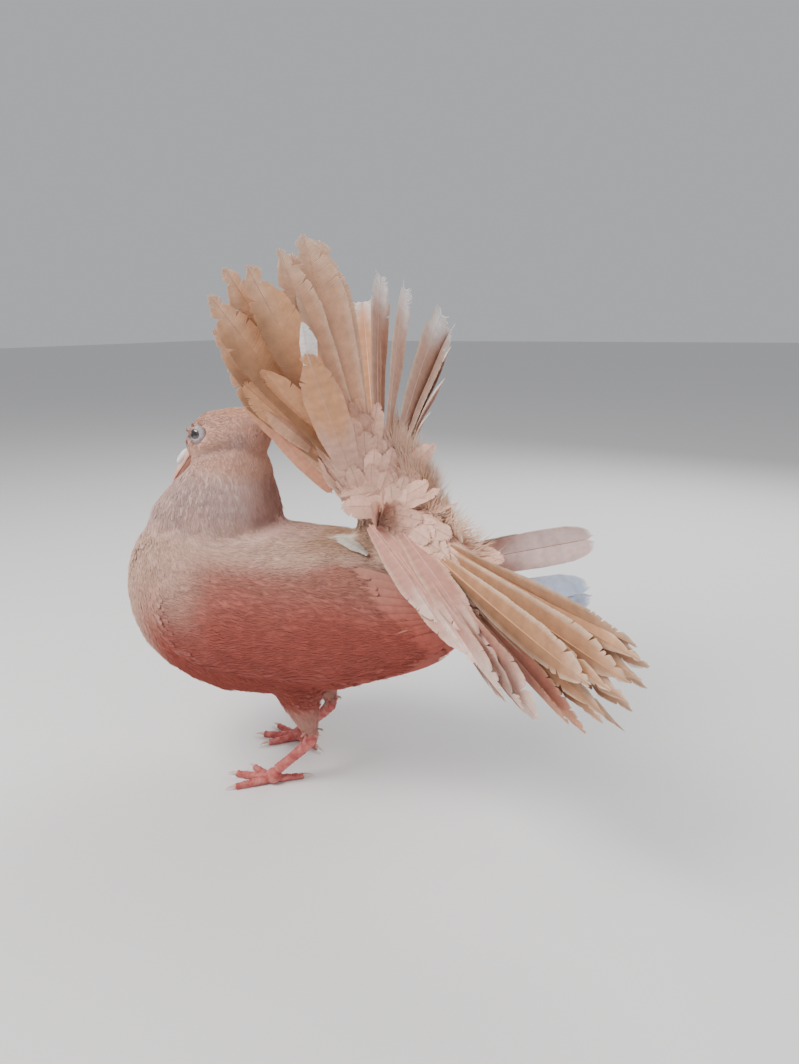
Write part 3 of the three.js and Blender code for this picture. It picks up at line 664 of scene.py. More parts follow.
def coat_tree(name, forms, material, spacing, seed):
    """Scatter feathers evenly over the skin, each turned to the lie of the coat and lifted a little."""
    tree = bpy.data.node_groups.new(name, "GeometryNodeTree")
    face = tree.interface
    face.new_socket("Geometry", in_out="INPUT", socket_type="NodeSocketGeometry")
    most = 1.0 / (spacing * spacing) * MOST_PER_SPACE
    for label, kind, value in (("Spacing", "Float", spacing), ("Most per area", "Float", most),
                               ("Lift", "Float", 0.12), ("Size", "Float", 1.0), ("Seed", "Int", seed)):
        socket = face.new_socket(label, in_out="INPUT", socket_type=f"NodeSocket{kind}")
        socket.default_value = value
    face.new_socket("Geometry", in_out="OUTPUT", socket_type="NodeSocketGeometry")
    given = add_node(tree, "NodeGroupInput").outputs

    def named(kind, label):
        node = add_node(tree, "GeometryNodeInputNamedAttribute", {"Name": label}, data_type=kind)
        return node.outputs["Attribute"]

    scatter = add_node(tree, "GeometryNodeDistributePointsOnFaces", {
        "Mesh": given["Geometry"], "Distance Min": given["Spacing"], "Density Max": given["Most per area"],
        "Density Factor": named("FLOAT", "cover"), "Seed": given["Seed"]}, distribute_method="POISSON")
    place = add_node(tree, "GeometryNodeInputPosition").outputs["Position"]
    roots = add_node(tree, "GeometryNodeStoreNamedAttribute", {
        "Geometry": scatter.outputs["Points"], "Name": "root", "Value": place},
        data_type="FLOAT_VECTOR", domain="POINT")
    turn = add_node(tree, "FunctionNodeAxesToRotation", {
        "Primary Axis": scatter.outputs["Normal"], "Secondary Axis": named("FLOAT_VECTOR", "lie")},
        primary_axis="Z", secondary_axis="Y")
    jitter = add_node(tree, "FunctionNodeRandomValue", {
        "Min": (-0.03, -0.07, -0.14), "Max": (0.03, 0.07, 0.14), "Seed": given["Seed"]},
        data_type="FLOAT_VECTOR")
    lift = add_node(tree, "ShaderNodeCombineXYZ", {"X": given["Lift"]})
    lean = add_node(tree, "ShaderNodeVectorMath", {0: jitter.outputs[0], 1: lift.outputs[0]}, operation="ADD")
    tilt = add_node(tree, "FunctionNodeRotateRotation", {
        "Rotation": turn.outputs["Rotation"], "Rotate By": lean.outputs[0]}, rotation_space="LOCAL")
    size = add_node(tree, "FunctionNodeRandomValue", {
        2: 0.85, 3: 1.15, "Seed": given["Seed"]}, data_type="FLOAT").outputs[1]
    size = maths(tree, "MULTIPLY", maths(tree, "MULTIPLY", size, named("FLOAT", "long")), given["Size"])
    together = add_node(tree, "GeometryNodeGeometryToInstance")
    for form in forms:
        info = add_node(tree, "GeometryNodeObjectInfo", {"Object": form})
        tree.links.new(info.outputs["Geometry"], together.inputs[0])
    pick = add_node(tree, "FunctionNodeRandomValue", {
        4: 0, 5: len(forms) - 1, "Seed": given["Seed"]}, data_type="INT").outputs[2]
    placed = add_node(tree, "GeometryNodeInstanceOnPoints", {
        "Points": roots.outputs["Geometry"], "Instance": together.outputs[0], "Pick Instance": True,
        "Instance Index": pick, "Rotation": tilt.outputs["Rotation"], "Scale": size})
    real = add_node(tree, "GeometryNodeRealizeInstances", {"Geometry": placed.outputs["Instances"]})
    finish = add_node(tree, "GeometryNodeSetMaterial", {
        "Geometry": real.outputs["Geometry"], "Material": material})
    add_node(tree, "NodeGroupOutput", {"Geometry": finish.outputs["Geometry"]})
    return tree


skin_points, skin_normals = vertices_of(skin)
lie_attribute = skin.data.attributes.new("lie", "FLOAT_VECTOR", "POINT")
lie_attribute.data.foreach_set("vector", flow(points, skin_normals).astype(np.float32).ravel())

# Unwrap places of the skin, looked up by nearest point
skin_uv = read(skin.data.uv_layers["OFBake"].data, "uv", 2)
vertex_uv = np.zeros((len(points), 2))
vertex_uv[read(skin.data.loops, "vertex_index", kind=np.int32)] = skin_uv
finder = KDTree(len(skin_points))
for i, p in enumerate(skin_points):
    finder.insert(p, i)
finder.balance()
PATCH = 0.003


def place_on_unwrap(obj, keys, back, vane, loops):
    """Each tuft becomes a small patch round its root's place on the skin's unwrap."""
    nearest = np.array([finder.find(k)[1] for k in keys])
    centre = vertex_uv[nearest][back][loops]
    layer = obj.data.uv_layers.new(name="OFBake")
    local = np.stack([vane[:, 0] * 0.5, vane[:, 1] - 0.5], 1) * PATCH
    layer.data.foreach_set("uv", np.clip(centre + local, 0, 1).astype(np.float32).ravel())


def float_attribute(mesh, name, values):
    attribute = mesh.attributes.get(name) or mesh.attributes.new(name, "FLOAT", "POINT")
    attribute.data.foreach_set("value", np.asarray(values, np.float32))


def coat(name, forms, material, cover, spacing_mm, long_mm, lift, seed, tint=1.0):
    """One coat piece grown on the skin where cover is above zero."""
    float_attribute(skin.data, "cover", cover)
    float_attribute(skin.data, "long", long_mm * MM * np.ones(len(points)))
    tree = coat_tree(f"lay_{name}", forms, material, spacing_mm * MM, seed)
    base = bpy.data.objects.new(name, skin.data)
    bpy.context.collection.objects.link(base)
    modifier = base.modifiers.new("coat", "NODES")
    modifier.node_group = tree
    for item in tree.interface.items_tree:
        if item.item_type == "SOCKET" and item.in_out == "INPUT" and item.name == "Lift":
            modifier[item.identifier] = float(lift)
    graph = bpy.context.evaluated_depsgraph_get()
    graph.update()
    mesh = bpy.data.meshes.new_from_object(base.evaluated_get(graph))
    base.modifiers.clear()
    base.data = mesh
    mesh.name = name
    root = millimetres(read(mesh.attributes["root"].data, "vector", 3))
    keys, back = np.unique(np.round(root, 3), axis=0, return_inverse=True)
    back = back.ravel()
    pick = np.random.default_rng(seed + 50)
    shade = 1 + pick.uniform(-0.07, 0.07, len(keys))
    warm = pick.uniform(-0.02, 0.02, len(keys))
    colour = markings_and_painted_light(keys) * shade[:, None] + warm[:, None] * np.array([1.0, 0.0, -0.7])
    vane = read(mesh.uv_layers["Vane"].data, "uv", 2)
    loops = read(mesh.loops, "vertex_index", kind=np.int32)
    along = np.zeros(len(mesh.vertices))
    along[loops] = vane[:, 1]
    # Each tuft darker at its root and paler at its tip: painted shade where the root lies under the tufts
    # before it
    tip = 0.94 + 0.12 * smooth_step(0.3, 1.0, along)
    paint(base, colour[back] * tip[:, None] * tint)
    place_on_unwrap(base, keys, back, vane, loops)
    mesh.attributes.remove(mesh.attributes["root"])
    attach(base, "root")


def forms_of(name, variants, first_seed, shape, **measures):
    return [form_object(f"{name}_{k}", shape(seed=k + first_seed, **measures)) for k in range(variants)]


BODY_LEAVES = forms_of("body_leaf", 3, 0, leaf_form, width=0.42, fringe=5, camber=0.2, droop=0.02)
FACE_LEAVES = forms_of("face_leaf", 2, 5, leaf_form, width=0.46, fringe=3, camber=0.16, droop=0.04)
WISPS = forms_of("wisp", 4, 9, wisp_form, count=6, spread=0.30, curl=0.01, barb=0.026)
FACE_WISPS = forms_of("face_wisp", 3, 39, wisp_form, count=3, spread=0.30, curl=0.01, barb=0.04)
COVERT_WISPS = forms_of("covert_wisp", 4, 59, wisp_form, count=7, spread=0.22, curl=0.02, barb=0.016)
DOWN_WISPS = forms_of("down_wisp", 4, 19, wisp_form, count=9, spread=0.75, curl=0.30, barb=0.012)

eye_gap = np.linalg.norm((points - EYE_CENTRE)[:, [0, 2]], axis=1)
eye_clear = np.where((np.abs(points[:, 1]) > 5) & (r["head"] > 0.3), smooth_step(4.5, 5.3, eye_gap), 1.0)
BILL_BARE_TO = 17
bill_clear = np.where((bill_reach > 0) & (bill_reach < BILL_BARE_TO), smooth_step(4.5, 6.5, bill_off), 1.0)
open_skin = eye_clear * bill_clear
facing = np.einsum("ij,ij->i", normals, raw_flow(points))
is_tail, is_wing, is_head = (r[name] for name in ("tail", "wing", "head"))
is_body = (is_tail < 0.5) & (is_wing < 0.5) & (is_head < 0.5)
tail_cover = (is_tail > 0.4) * (facing < 0.5)
height = points[:, 2]
behind = rear_share(points)

body_long = 5.6 - 0.6 * r["neck"] - 0.4 * r["thigh"]
on_wing = is_wing > 0.4
on_face = (is_head > 0.4) * open_skin

# Heights at which one kind of body feather gives way to the next; neighbours overlap a little
BREAST_LEAVES_FROM = 95
BELLY_LEAVES_TO = 98
NECK_WISPS_FROM = 122
BREAST_WISPS_FROM = 78
BREAST_WISPS_TO = 124
BELLY_WISPS_TO = 80
breast_height = (height >= BREAST_WISPS_FROM) & (height < BREAST_WISPS_TO)

coat("breast_coat", BODY_LEAVES, SMALL_FEATHER, is_body & (height >= BREAST_LEAVES_FROM),
     spacing_mm=2.0, long_mm=body_long, lift=0.0, seed=11)
coat("belly_coat", BODY_LEAVES, SMALL_FEATHER, is_body & (height < BELLY_LEAVES_TO),
     spacing_mm=2.0, long_mm=body_long, lift=0.0, seed=12)
coat("head_coat", FACE_LEAVES, FINE_FEATHER, on_face,
     spacing_mm=1.05, long_mm=2.6, lift=0.02, seed=13)
coat("wing_coat", BODY_LEAVES, SMALL_FEATHER, on_wing,
     spacing_mm=2.4, long_mm=7.5, lift=0.0, seed=14)
coat("tail_covert_coat", BODY_LEAVES, SMALL_FEATHER, tail_cover * (1 - 0.7 * behind),
     spacing_mm=2.6, long_mm=11.0, lift=0.02, seed=15)
coat("neck_wisps", WISPS, DOWNY, (is_body & (height >= NECK_WISPS_FROM)) * open_skin,
     spacing_mm=1.75, long_mm=body_long * 1.05, lift=0.09, seed=16, tint=1.04)
coat("breast_wisps", WISPS, DOWNY, is_body & breast_height,
     spacing_mm=1.75, long_mm=body_long * 1.1, lift=0.09, seed=17, tint=1.04)
coat("belly_wisps", WISPS, DOWNY, is_body & (height < BELLY_WISPS_TO),
     spacing_mm=1.75, long_mm=body_long * 1.15, lift=0.10, seed=18, tint=1.04)
coat("wing_wisps", COVERT_WISPS, DOWNY, on_wing,
     spacing_mm=1.9, long_mm=7.5, lift=0.075, seed=19, tint=1.03)
coat("face_wisps", FACE_WISPS, FINE_FEATHER, on_face,
     spacing_mm=0.95, long_mm=2.6, lift=0.12, seed=20, tint=1.03)
coat("covert_wisps", COVERT_WISPS, DOWNY, tail_cover * (1 - 0.5 * behind),
     spacing_mm=1.7, long_mm=12.0, lift=0.04, seed=21, tint=1.03)
coat("vent_down", DOWN_WISPS, DOWNY, tail_cover * behind,
     spacing_mm=2.1, long_mm=18.0, lift=0.24, seed=22, tint=1.04)


# Long feathers: shaft and separate barbs, split and worn at the edge
BARB_THICK = 0.12
SHAFT_END = 0.985
SHAFT_TIP_RADIUS = 0.12
VANE_END = 1.04
VANE_ARCH = 0.16
BREAKS_FROM = 0.45
GATHERED = 0.48
RIPPLES = 2.1
PLAIN_VANE = [(0, 0.10), (0.15, 0.3), (0.3, 0.52), (0.6, 0.86), (0.88, 1.0), (0.96, 0.92), (1.02, 0.7)]
BARB_FACES = [(0, 1, 2)]
for a in (0, 3):
    for j in range(3):
        b, k = a + 3, (j + 1) % 3
        BARB_FACES += [(a + j, b + j, b + k), (a + j, b + k, a + k)]
BARB_FACES += [(6, 9, 7), (7, 9, 8), (8, 9, 6)]
BARB_FACES = np.array(BARB_FACES)


def long_feather(root, tip, face, width, seed, twist=0.0, bow=1.0, curl=0.0, barbs=110, skew=0.0,
                 ragged=0.22, splits=9, widths=PLAIN_VANE, clear=0.12, shaft=0.6, frayed=1.0):
    """One feather from root to tip; its vane starts at clear and wears out towards the tip."""
    pick = np.random.default_rng(seed)
    root, tip = np.asarray(root, float), np.asarray(tip, float)
    span = tip - root
    length = np.linalg.norm(span)
    along = span / length
    flat_face = unit(face - along * np.dot(face, along))
    normal = flat_face * math.cos(twist) + np.cross(along, flat_face) * math.sin(twist)
    across = np.cross(along, normal)
    shape = np.array(widths)

    def centre(t):
        t = np.asarray(t, float)
        lift = 4 * t * (1 - t) * bow + curl * t ** 3
        return root + np.multiply.outer(t, span) + np.multiply.outer(lift, normal)

    def half(t):
        return np.interp(t, shape[:, 0], shape[:, 1]) * width / 2

    # The barbs' faces run the same way round on both sides of the shaft
    turn_sign = 1.0 if np.dot(np.cross(across, along), normal) > 0 else -1.0
    parts, uvs, kinds = [], [], []
    # Shaft
    rings = []
    for t in np.linspace(0, 0.97, 14):
        radius = shaft * (1 - t) + SHAFT_TIP_RADIUS
        rings.append(ring(centre(t), across, normal, radius, radius * 0.8, radius * 0.8, 6))
    p, f = loft(rings, centre(-0.01), centre(SHAFT_END))
    parts.append((p, f))
    uvs.append(np.stack([np.zeros(len(p)), ((p - root) @ along) / length], 1))
    kinds.append(np.full(len(p), 1.0))
    # Barbs, hooked together in groups whose ends gather to worn points near the tip
    u = np.array([0.0, 0.45, 0.85])
    step = (SHAFT_END - clear) / barbs
    wave_turn = pick.uniform(0, 6)
    for side in (-1, 1):
        breaks = np.sort(pick.uniform(BREAKS_FROM, 1.0, splits))
        begin = clear + step * np.arange(barbs)
        group = np.searchsorted(breaks, begin)
        middle = np.array([begin[group == g].mean() if (group == g).any() else 0 for g in range(splits + 1)])
        size = np.array([(group == g).sum() for g in range(splits + 1)])
        drop = pick.uniform(-1, 1, splits + 1) * 0.25 * frayed
        worn_group = 1 - ragged * pick.random(splits + 1)
        for k in range(barbs):
            t0 = begin[k]
            near_tip = smooth_step(0.84, 1.0, t0)
            in_tip = smooth_step(0.6, 0.95, t0)
            worn = 1 - (1 - worn_group[group[k]]) * in_tip - 0.04 * frayed * pick.random()
            reach = half(min(VANE_END, t0 + 0.07)) * (1 - side * skew) * worn
            top = VANE_END - 0.07 * frayed * pick.random() - 0.05 * (reach / (width / 2)) ** 2
            advance = min((0.5 + 0.9 * near_tip) * reach / length, max(0.015, top - t0))
            gather = (middle[group[k]] - t0) * GATHERED * in_tip if size[group[k]] < barbs * 0.3 else 0.0
            out_share = np.sin(u * math.pi / 2) * (1 - 0.62 * near_tip ** 2 * smooth_step(0.93, 1.0, t0))
            x = side * (0.2 + out_share * reach)
            t = t0 + u * advance + gather * u ** 2
            ripple = 0.5 * frayed * np.sin(2 * math.pi * RIPPLES * t + wave_turn + side) * u ** 2
            sag = -VANE_ARCH * np.abs(x) + (drop[group[k]] * in_tip + ripple) * u ** 2
            sag = sag + pick.uniform(-0.03, 0.03)
            line = centre(t) + np.outer(x, across) + np.outer(sag, normal)
            thin = in_tip * frayed
            half_wide = step * length * np.array([0.9, 0.95 - 0.2 * thin, 0.75 - 0.35 * thin])
            edge = np.outer(half_wide, along)
            strip = np.stack([line - edge, line + edge, line - BARB_THICK * normal], 1)
            end = line[-1] + 0.18 * (line[-1] - line[-2])
            base = np.vstack([strip.reshape(-1, 3), [end]])
            parts.append((base, BARB_FACES if side * turn_sign > 0 else BARB_FACES[:, ::-1]))
            uv_side = np.append(np.repeat(u, 3), 1.0) * side
            uvs.append(np.stack([uv_side, np.append(np.repeat(t, 3), t[-1])], 1))
            kinds.append(np.zeros(len(base)))
    points_, faces_ = joined(parts)
    return points_, faces_, np.vstack(uvs), np.concatenate(kinds)


def feather_tint(uv, kind, base, tip, edge, shaft, seed, tip_from=0.72, inner_vane_shade=0.0):
    """Colours of one feather: a paler tip; a paler edge, partly pale fringe and partly painted rim light; and
    one vane darkened by the given share, partly a darker inner vane and partly painted shade where it lies
    under its neighbour.
    """
    pick = np.random.default_rng(seed)
    t = np.clip(uv[:, 1], 0, 1)
    u = np.abs(uv[:, 0])
    colour = np.tile(base * (1 + 0.08 * pick.uniform(-1, 1)), (len(uv), 1))
    ragged_line = t + 0.06 * np.sin(uv[:, 0] * 5 + pick.uniform(0, 6))
    tip_share = smooth_step(tip_from, tip_from + 0.28, ragged_line)
    colour = over(colour, tip, tip_share)
    # Paler edge: partly the feather's pale fringe, partly painted rim light shining through the vane
    colour = over(colour, edge, smooth_step(0.5, 1.0, u) * 0.8 * (1 - 0.7 * tip_share))
    # One vane darker towards its root: partly a darker inner vane, partly painted shade where the next
    # feather overlaps it
    colour = colour * (1 - inner_vane_shade * smooth_step(-0.3, 0.7, uv[:, 0]) * smooth_step(0.95, 0.7, t))[:, None]
    streak = 0.05 * np.sin(t * 90 + pick.uniform(0, 6)) + 0.05 * np.sin(t * 37 + u * 3)
    colour = colour * (1 + streak)[:, None]
    return np.where(kind[:, None] > 0.5, shaft, colour)


UNWRAP_COLUMNS = 8


def long_piece(name, feathers):
    """Joins long feathers; each keeps its own strip of the unwrap."""
    parts, uvs, colours, bake = [], [], [], []
    grid = np.array([UNWRAP_COLUMNS, math.ceil(len(feathers) / UNWRAP_COLUMNS)])
    for i, (form, tones, seed) in enumerate(feathers):
        p, f, uv, kind = form
        parts.append((p, f))
        uvs.append(uv)
        if tones:
            colours.append(feather_tint(uv, kind, *tones[:4], seed, *tones[4:]))
        else:
            paler = 0.97 + 0.08 * smooth_step(0.5, 1.0, np.abs(uv[:, 0]))
            colours.append(wing_tone_with_red_bounce(p) * paler[:, None])
        cell = np.array([i % UNWRAP_COLUMNS, i // UNWRAP_COLUMNS])
        strip = np.stack([0.5 + uv[:, 0] * 0.42, 0.05 + np.clip(uv[:, 1], 0, 1) * 0.9], 1)
        bake.append((cell + strip) / grid)
    obj = mesh_object(name, *joined(parts))
    obj.data.materials.append(FLIGHT_FEATHER)
    set_uv(obj, "Vane", np.vstack(uvs))
    set_uv(obj, "OFBake", np.vstack(bake))
    paint(obj, np.vstack(colours))
    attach(obj, "root")
    return obj


TAN = np.array([0.56, 0.285, 0.15])
PINK_TAN = np.array([0.61, 0.33, 0.205])
PALE_TIP = np.array([0.72, 0.50, 0.36])
CREAM = np.array([0.80, 0.62, 0.46])
WHITE = np.array([0.78, 0.74, 0.72])
SHAFT = np.array([0.68, 0.44, 0.35])
# A tone set gives base, tip, edge and shaft colour, where the tip starts, and how dark one vane is made; the
# edge colour is partly painted rim light, and the vane darkening is partly a darker inner vane and partly
# painted shade under the neighbouring feather
WARM = (TAN * 1.08, np.array([0.68, 0.42, 0.28]), TAN * 1.2, TAN, 0.72, 0.5)
PALE = (PINK_TAN, PALE_TIP, PALE_TIP, PINK_TAN * 1.1, 0.78, 0.15)
RIGHTS = (np.array([0.50, 0.28, 0.20]), WHITE, PALE_TIP, SHAFT)
TAN_RIGHT = (TAN * 0.9, WHITE, PALE_TIP, SHAFT, 0.8)
LOW = (TAN * 0.88, PALE_TIP, CREAM * 1.05, TAN, 0.8, 0.3)
# Red tan: painted shade, a darker reddish copy of the tan for the feathers that lie in shadow between the
# pale band and the tan group
SHADED_RED_TAN = (np.array([0.50, 0.21, 0.15]), TAN * 1.1, PINK_TAN, TAN, 0.8, 0.2)
ROSE = np.array([0.56, 0.262, 0.205])
PALE_ROSE = np.array([0.74, 0.54, 0.46])
LOW_PALE = (ROSE, PALE_ROSE, PALE_TIP, np.array([0.62, 0.34, 0.28]), 0.6, 0.15)

# Tips of the fans: place, share of the full width, and turn about the shaft
UPPER_TIPS = [
    [-21.5, -27, 206, 0.62, 0], [-24.5, -38, 221, 0.7, 0.3], [-27, -46, 236, 0.66, -0.2],
    [-25.9, -50, 250.7, 0.72, 0.4], [-19.2, -48, 262.1, 0.72, -0.25], [-10.4, -45, 263, 0.8, 0.25],
    [-5.5, -40, 254, 0.7, -0.35], [1.6, -36, 270.4, 0.68, 0.25], [4.8, -29, 268.7, 0.66, -0.3],
    [7.6, -22, 277.5, 0.95, 0.15], [12.4, -16, 275.2, 0.85, -0.25], [15.5, -7, 262.5, 0.8, 0.2],
]
POINTED = [(0, 0.1), (0.15, 0.32), (0.3, 0.56), (0.55, 0.88), (0.75, 1.0), (0.86, 0.9), (0.94, 0.62),
           (1.0, 0.34), (1.04, 0.15)]
RIGHT_TIPS = [
    [17, 38, 250, 0.6, 0], [25.5, 41, 262, 0.7, 1.05], [37.5, 52, 257, 0.75, 0.8], [52, 73, 244, 1, -0.15],
    [54, 88, 233, 0.9, 0], [50, 100, 220, 1, 0], [42, 111, 201, 1, 0], [33, 119, 178, 1, 0],
    [26, 122, 153, 1, 0], [22, 120, 128, 1, 0],
]
LEFT_TIPS = [
    [160.1, -84, 120.1, 1, 0.1], [165, -80, 109.2, 1, -0.15], [166.5, -76, 100.2, 1, 0],
    [158.3, -84.5, 104.9, 0.85, -0.4], [160.6, -74, 87.2, 1, 0], [158.8, -70, 76.5, 0.9, 0.1],
    [144.4, -85, 102.9, 0.85, -0.45], [143.5, -76, 77.5, 1, 0], [136.2, -77, 81.2, 0.9, 0.2],
    [125.6, -80, 83.6, 1, 0], [117.3, -82, 87.5, 1, 0.15], [109.7, -83, 91.4, 1, 0.1],
]


def fan(tips, start, root_reach, width, seed, twist, tones, across=None, turned=lambda i: 0.0,
        broad=lambda i: 1.0, forward=lambda i: 0.0, shape=PLAIN_VANE, barbs=110):
    """Feathers from one start to each tip; some turn their faces part of the way to the viewer."""
    feathers = []
    for i, t in enumerate(tips):
        tip = np.array(t[:3], float)
        before, after = tips[max(0, i - 1)], tips[min(len(tips) - 1, i + 1)]
        row = np.array(after[:3], float) - np.array(before[:3], float)
        along = unit(tip - start)
        to_viewer = np.array(CAMERA_PLACE) - tip
        face = unit(np.cross(along, across) if across is not None else np.cross(along, row))
        turn = twist + t[4]
        share = turned(i)
        if share:
            aim = math.atan2(np.dot(np.cross(along, face), to_viewer), np.dot(face, to_viewer))
            aim = (aim + math.pi / 2) % math.pi - math.pi / 2
            turn = turn * (1 - share) + aim * share
        wide = width * t[3] * broad(i)
        ahead = unit(to_viewer) * forward(i)
        form = long_feather(start + along * root_reach + ahead * 0.5, tip + ahead, face, wide, seed + i, turn,
                            bow=1.2 + 0.8 * rng.random(), curl=rng.uniform(-1.5, 1.5),
                            skew=rng.uniform(-0.1, 0.1), widths=shape, barbs=barbs)
        feathers.append((form, tones(i), seed + i))
    return feathers


upper = fan(UPPER_TIPS, TAIL_ROOT, root_reach=22, width=26, seed=200, twist=0.2,
            tones=lambda i: WARM if i < 7 else PALE,
            turned=lambda i: {11: 0.4, 10: 0.55}.get(i, 0.62) if i > 6 else 0.3,
            forward=lambda i: {1: 3.0, 3: 4.0, 5: 6.0, 7: 1.0, 9: 5.0}.get(i, 0.0), shape=POINTED, barbs=150)
right = fan(RIGHT_TIPS, TAIL_ROOT, root_reach=26, width=26, seed=260, twist=0.2,
            tones=lambda i: TAN_RIGHT if i == 0 else RIGHTS,
            turned=lambda i: 0.3 if i in (1, 2) else 0.0)
low = fan(LEFT_TIPS, LEFT_START, root_reach=34, width=22.1, seed=320, twist=-0.45,
          tones=lambda i: LOW_PALE if i > 8 else SHADED_RED_TAN if i > 6 else LOW,
          across=LEFT_ACROSS, broad=lambda i: 1.3 if i > 8 else 0.92,
          forward=lambda i: {1: 1.5, 3: 3.0, 6: 3.0, 9: 2.0, 11: 2.0}.get(i, 0.0), shape=POINTED, barbs=140)

# One small white feather between the two groups, and a curved one at the rear of the base
white = long_feather([14.8, -38, 213], [14.3, -43.5, 238.7], [0.1, -0.95, 0.1], width=7.5, seed=700,
                     bow=-1.0, barbs=60, ragged=0.02, splits=2, frayed=0.2, shaft=0.15, skew=-0.35,
                     widths=[(0, 0.4), (0.4, 0.9), (0.65, 1.0), (0.9, 0.5), (1.03, 0.1)])
upper.append((white, (WHITE, WHITE, WHITE, WHITE), 700))
curved = long_feather([68, -4, 130], [73.5, -12, 159], [0.75, -0.6, -0.2], width=7, seed=701,
                      bow=4.0, curl=-2.0, barbs=60, splits=3, shaft=0.2,
                      widths=[(0, 0.4), (0.4, 1.0), (0.75, 0.85), (0.95, 0.4), (1.04, 0.1)])
low.append((curved, (TAN * 1.1, CREAM, CREAM, SHAFT), 701))

# Coverts laid on the skin of the tail base, in tiers, each over the root of the next
SOFT_POINT = [(0, 0.2), (0.2, 0.55), (0.45, 0.92), (0.7, 1.0), (0.86, 0.82), (0.95, 0.55), (1.0, 0.36),
              (1.04, 0.18)]
SOFT_COVERT = [(0, 0.15), (0.15, 0.5), (0.4, 0.9), (0.75, 1.0), (0.93, 0.85), (1.0, 0.65), (1.03, 0.45)]
loose = np.random.default_rng(77)
skin_faces = [tuple(face.vertices) for face in skin.data.polygons]
surface = BVHTree.FromPolygons([Vector(v) for v in skin_points], skin_faces)


def on_skin(point, lift):
    place, normal, _, _ = surface.find_nearest(Vector(point))
    return np.array(place) + np.array(normal) * lift, np.array(normal)


def laid_feather(guess, direction, length, wide, seed, lift=1.5, frayed=1.3, curl=0.0):
    """A covert that springs from the skin and lies along it."""
    root, normal = on_skin(guess, -1.2)
    direction = unit(np.asarray(direction, float) - normal * np.dot(direction, normal))
    middle, _ = on_skin(root + direction * length / 2, lift * 0.8)
    tip, end_normal = on_skin(root + direction * length, lift)
    if np.linalg.norm(tip - root) < 0.8 * length or np.dot(end_normal, normal) < 0.3:
        tip = root + direction * length + normal * lift
    face = unit(normal + end_normal)
    face = face if np.dot(face, normal) > 0 else -face
    bow = float(np.clip(np.dot(middle - (root + tip) / 2, face), -0.5, 5.0))
    return long_feather(root, tip, face, wide, seed, twist=0.05, bow=bow, barbs=56, ragged=0.3, splits=6,
                        shaft=0.12, frayed=frayed, clear=0.02, widths=SOFT_POINT, curl=curl)


def add_laid(rows, guess, direction, length, wide, seed):
    """A soft covert, a little out of line with its neighbours, darkened as painted shade, darker at the root
    and paler at the tip as painted shading, with pale edges that are partly painted rim light.
    """
    root, _ = on_skin(guess, 0.0)
    turn = loose.uniform(-0.22, 0.22, 3)
    length = length * loose.uniform(0.8, 1.15)
    # Darkened at random below the markings: painted shade, to match the self-shadowed tufts round it
    tone = markings_and_painted_light(root[None, :])[0] * loose.uniform(0.78, 0.98)
    warm = 0.85 * smooth_step(0.6, 1.6, (root[2] - 150) / 22 + (32 - root[0]) / 14)
    tone = tone * (1 - warm) + PINK_TAN * warm
    curl = loose.uniform(0.3, 2.2)
    if regions(root[None, :])["tail"][0] > 0.6:
        form = laid_feather(guess, unit(direction) + turn, length, wide, seed, curl=curl)
        # Darker root, paler tip and edges: painted shading that gives the covert depth, the edges partly
        # painted rim light
        rows.append((form, (tone * 0.9, tone * 1.1, tone * 1.25, tone * 0.95, 0.35), seed))


for tier, (rise, count, long) in enumerate(((-2, 6, 22), (6, 6, 24), (15, 6, 26), (24, 6, 28), (34, 5, 32))):
    for i in range(count):
        across = (i - (count - 1) / 2) * 6.5
        guess = TAIL_ROOT + UPPER_ALONG * rise + UPPER_SPREAD * [1, 0, 1] * across + [-3, -27, 0]
        turn = UPPER_ALONG + [-0.12, 0, 0] + UPPER_SPREAD * across * 0.035
        add_laid(upper, guess, turn, long, wide=10.0, seed=760 + 10 * tier + i)
for tier, (rise, count, long) in enumerate(((0, 5, 22), (10, 5, 24), (20, 5, 26), (30, 5, 28), (41, 5, 32))):
    for i in range(count):
        across = (i - (count - 1) / 2) * 6.5
        guess = LEFT_START + LEFT_ALONG * rise + LEFT_SPREAD * across + LEFT_ACROSS * 26
        turn = LEFT_ALONG + LEFT_SPREAD * across * 0.014
        add_laid(low, guess, turn, long, wide=9.0, seed=820 + 10 * tier + i)
# Soft coverts that spread from the fold over the back, up, across and down the base of the tail
FOLD = np.array([35.0, -15.0, 149.0])
for tier, (rise, count, long) in enumerate(((20, 7, 26), (11, 8, 26), (1, 7, 24))):
    for i in range(count):
        aim = math.radians(112 - (i + 0.5) / count * 168)
        out = np.array([math.cos(aim), -0.15, math.sin(aim)])
        add_laid(low, FOLD + out * rise, out, long, wide=9.0, seed=900 + 10 * tier + i)
# A soft lobe of coverts that hangs over the fold
LOBE = (([47, -15, 164], [-17, 1, -6], 28), ([51, -14, 160], [-18, 0, -8], 31),
        ([53, -18, 156], [-18, 0, -7], 30), ([49, -15, 161], [-16, 0, -10], 28),
        ([46, -15, 166], [-16, 0, -12], 27))
for i, (guess, direction, long) in enumerate(LOBE):
    form = laid_feather(guess, direction, long, 12.0, 730 + i, lift=3.0, frayed=1.0, curl=-1.0)
    upper.append((form, (COVERT * 0.84, COVERT * 0.95, COVERT * 1.05, COVERT * 0.88, 0.4), 730 + i))
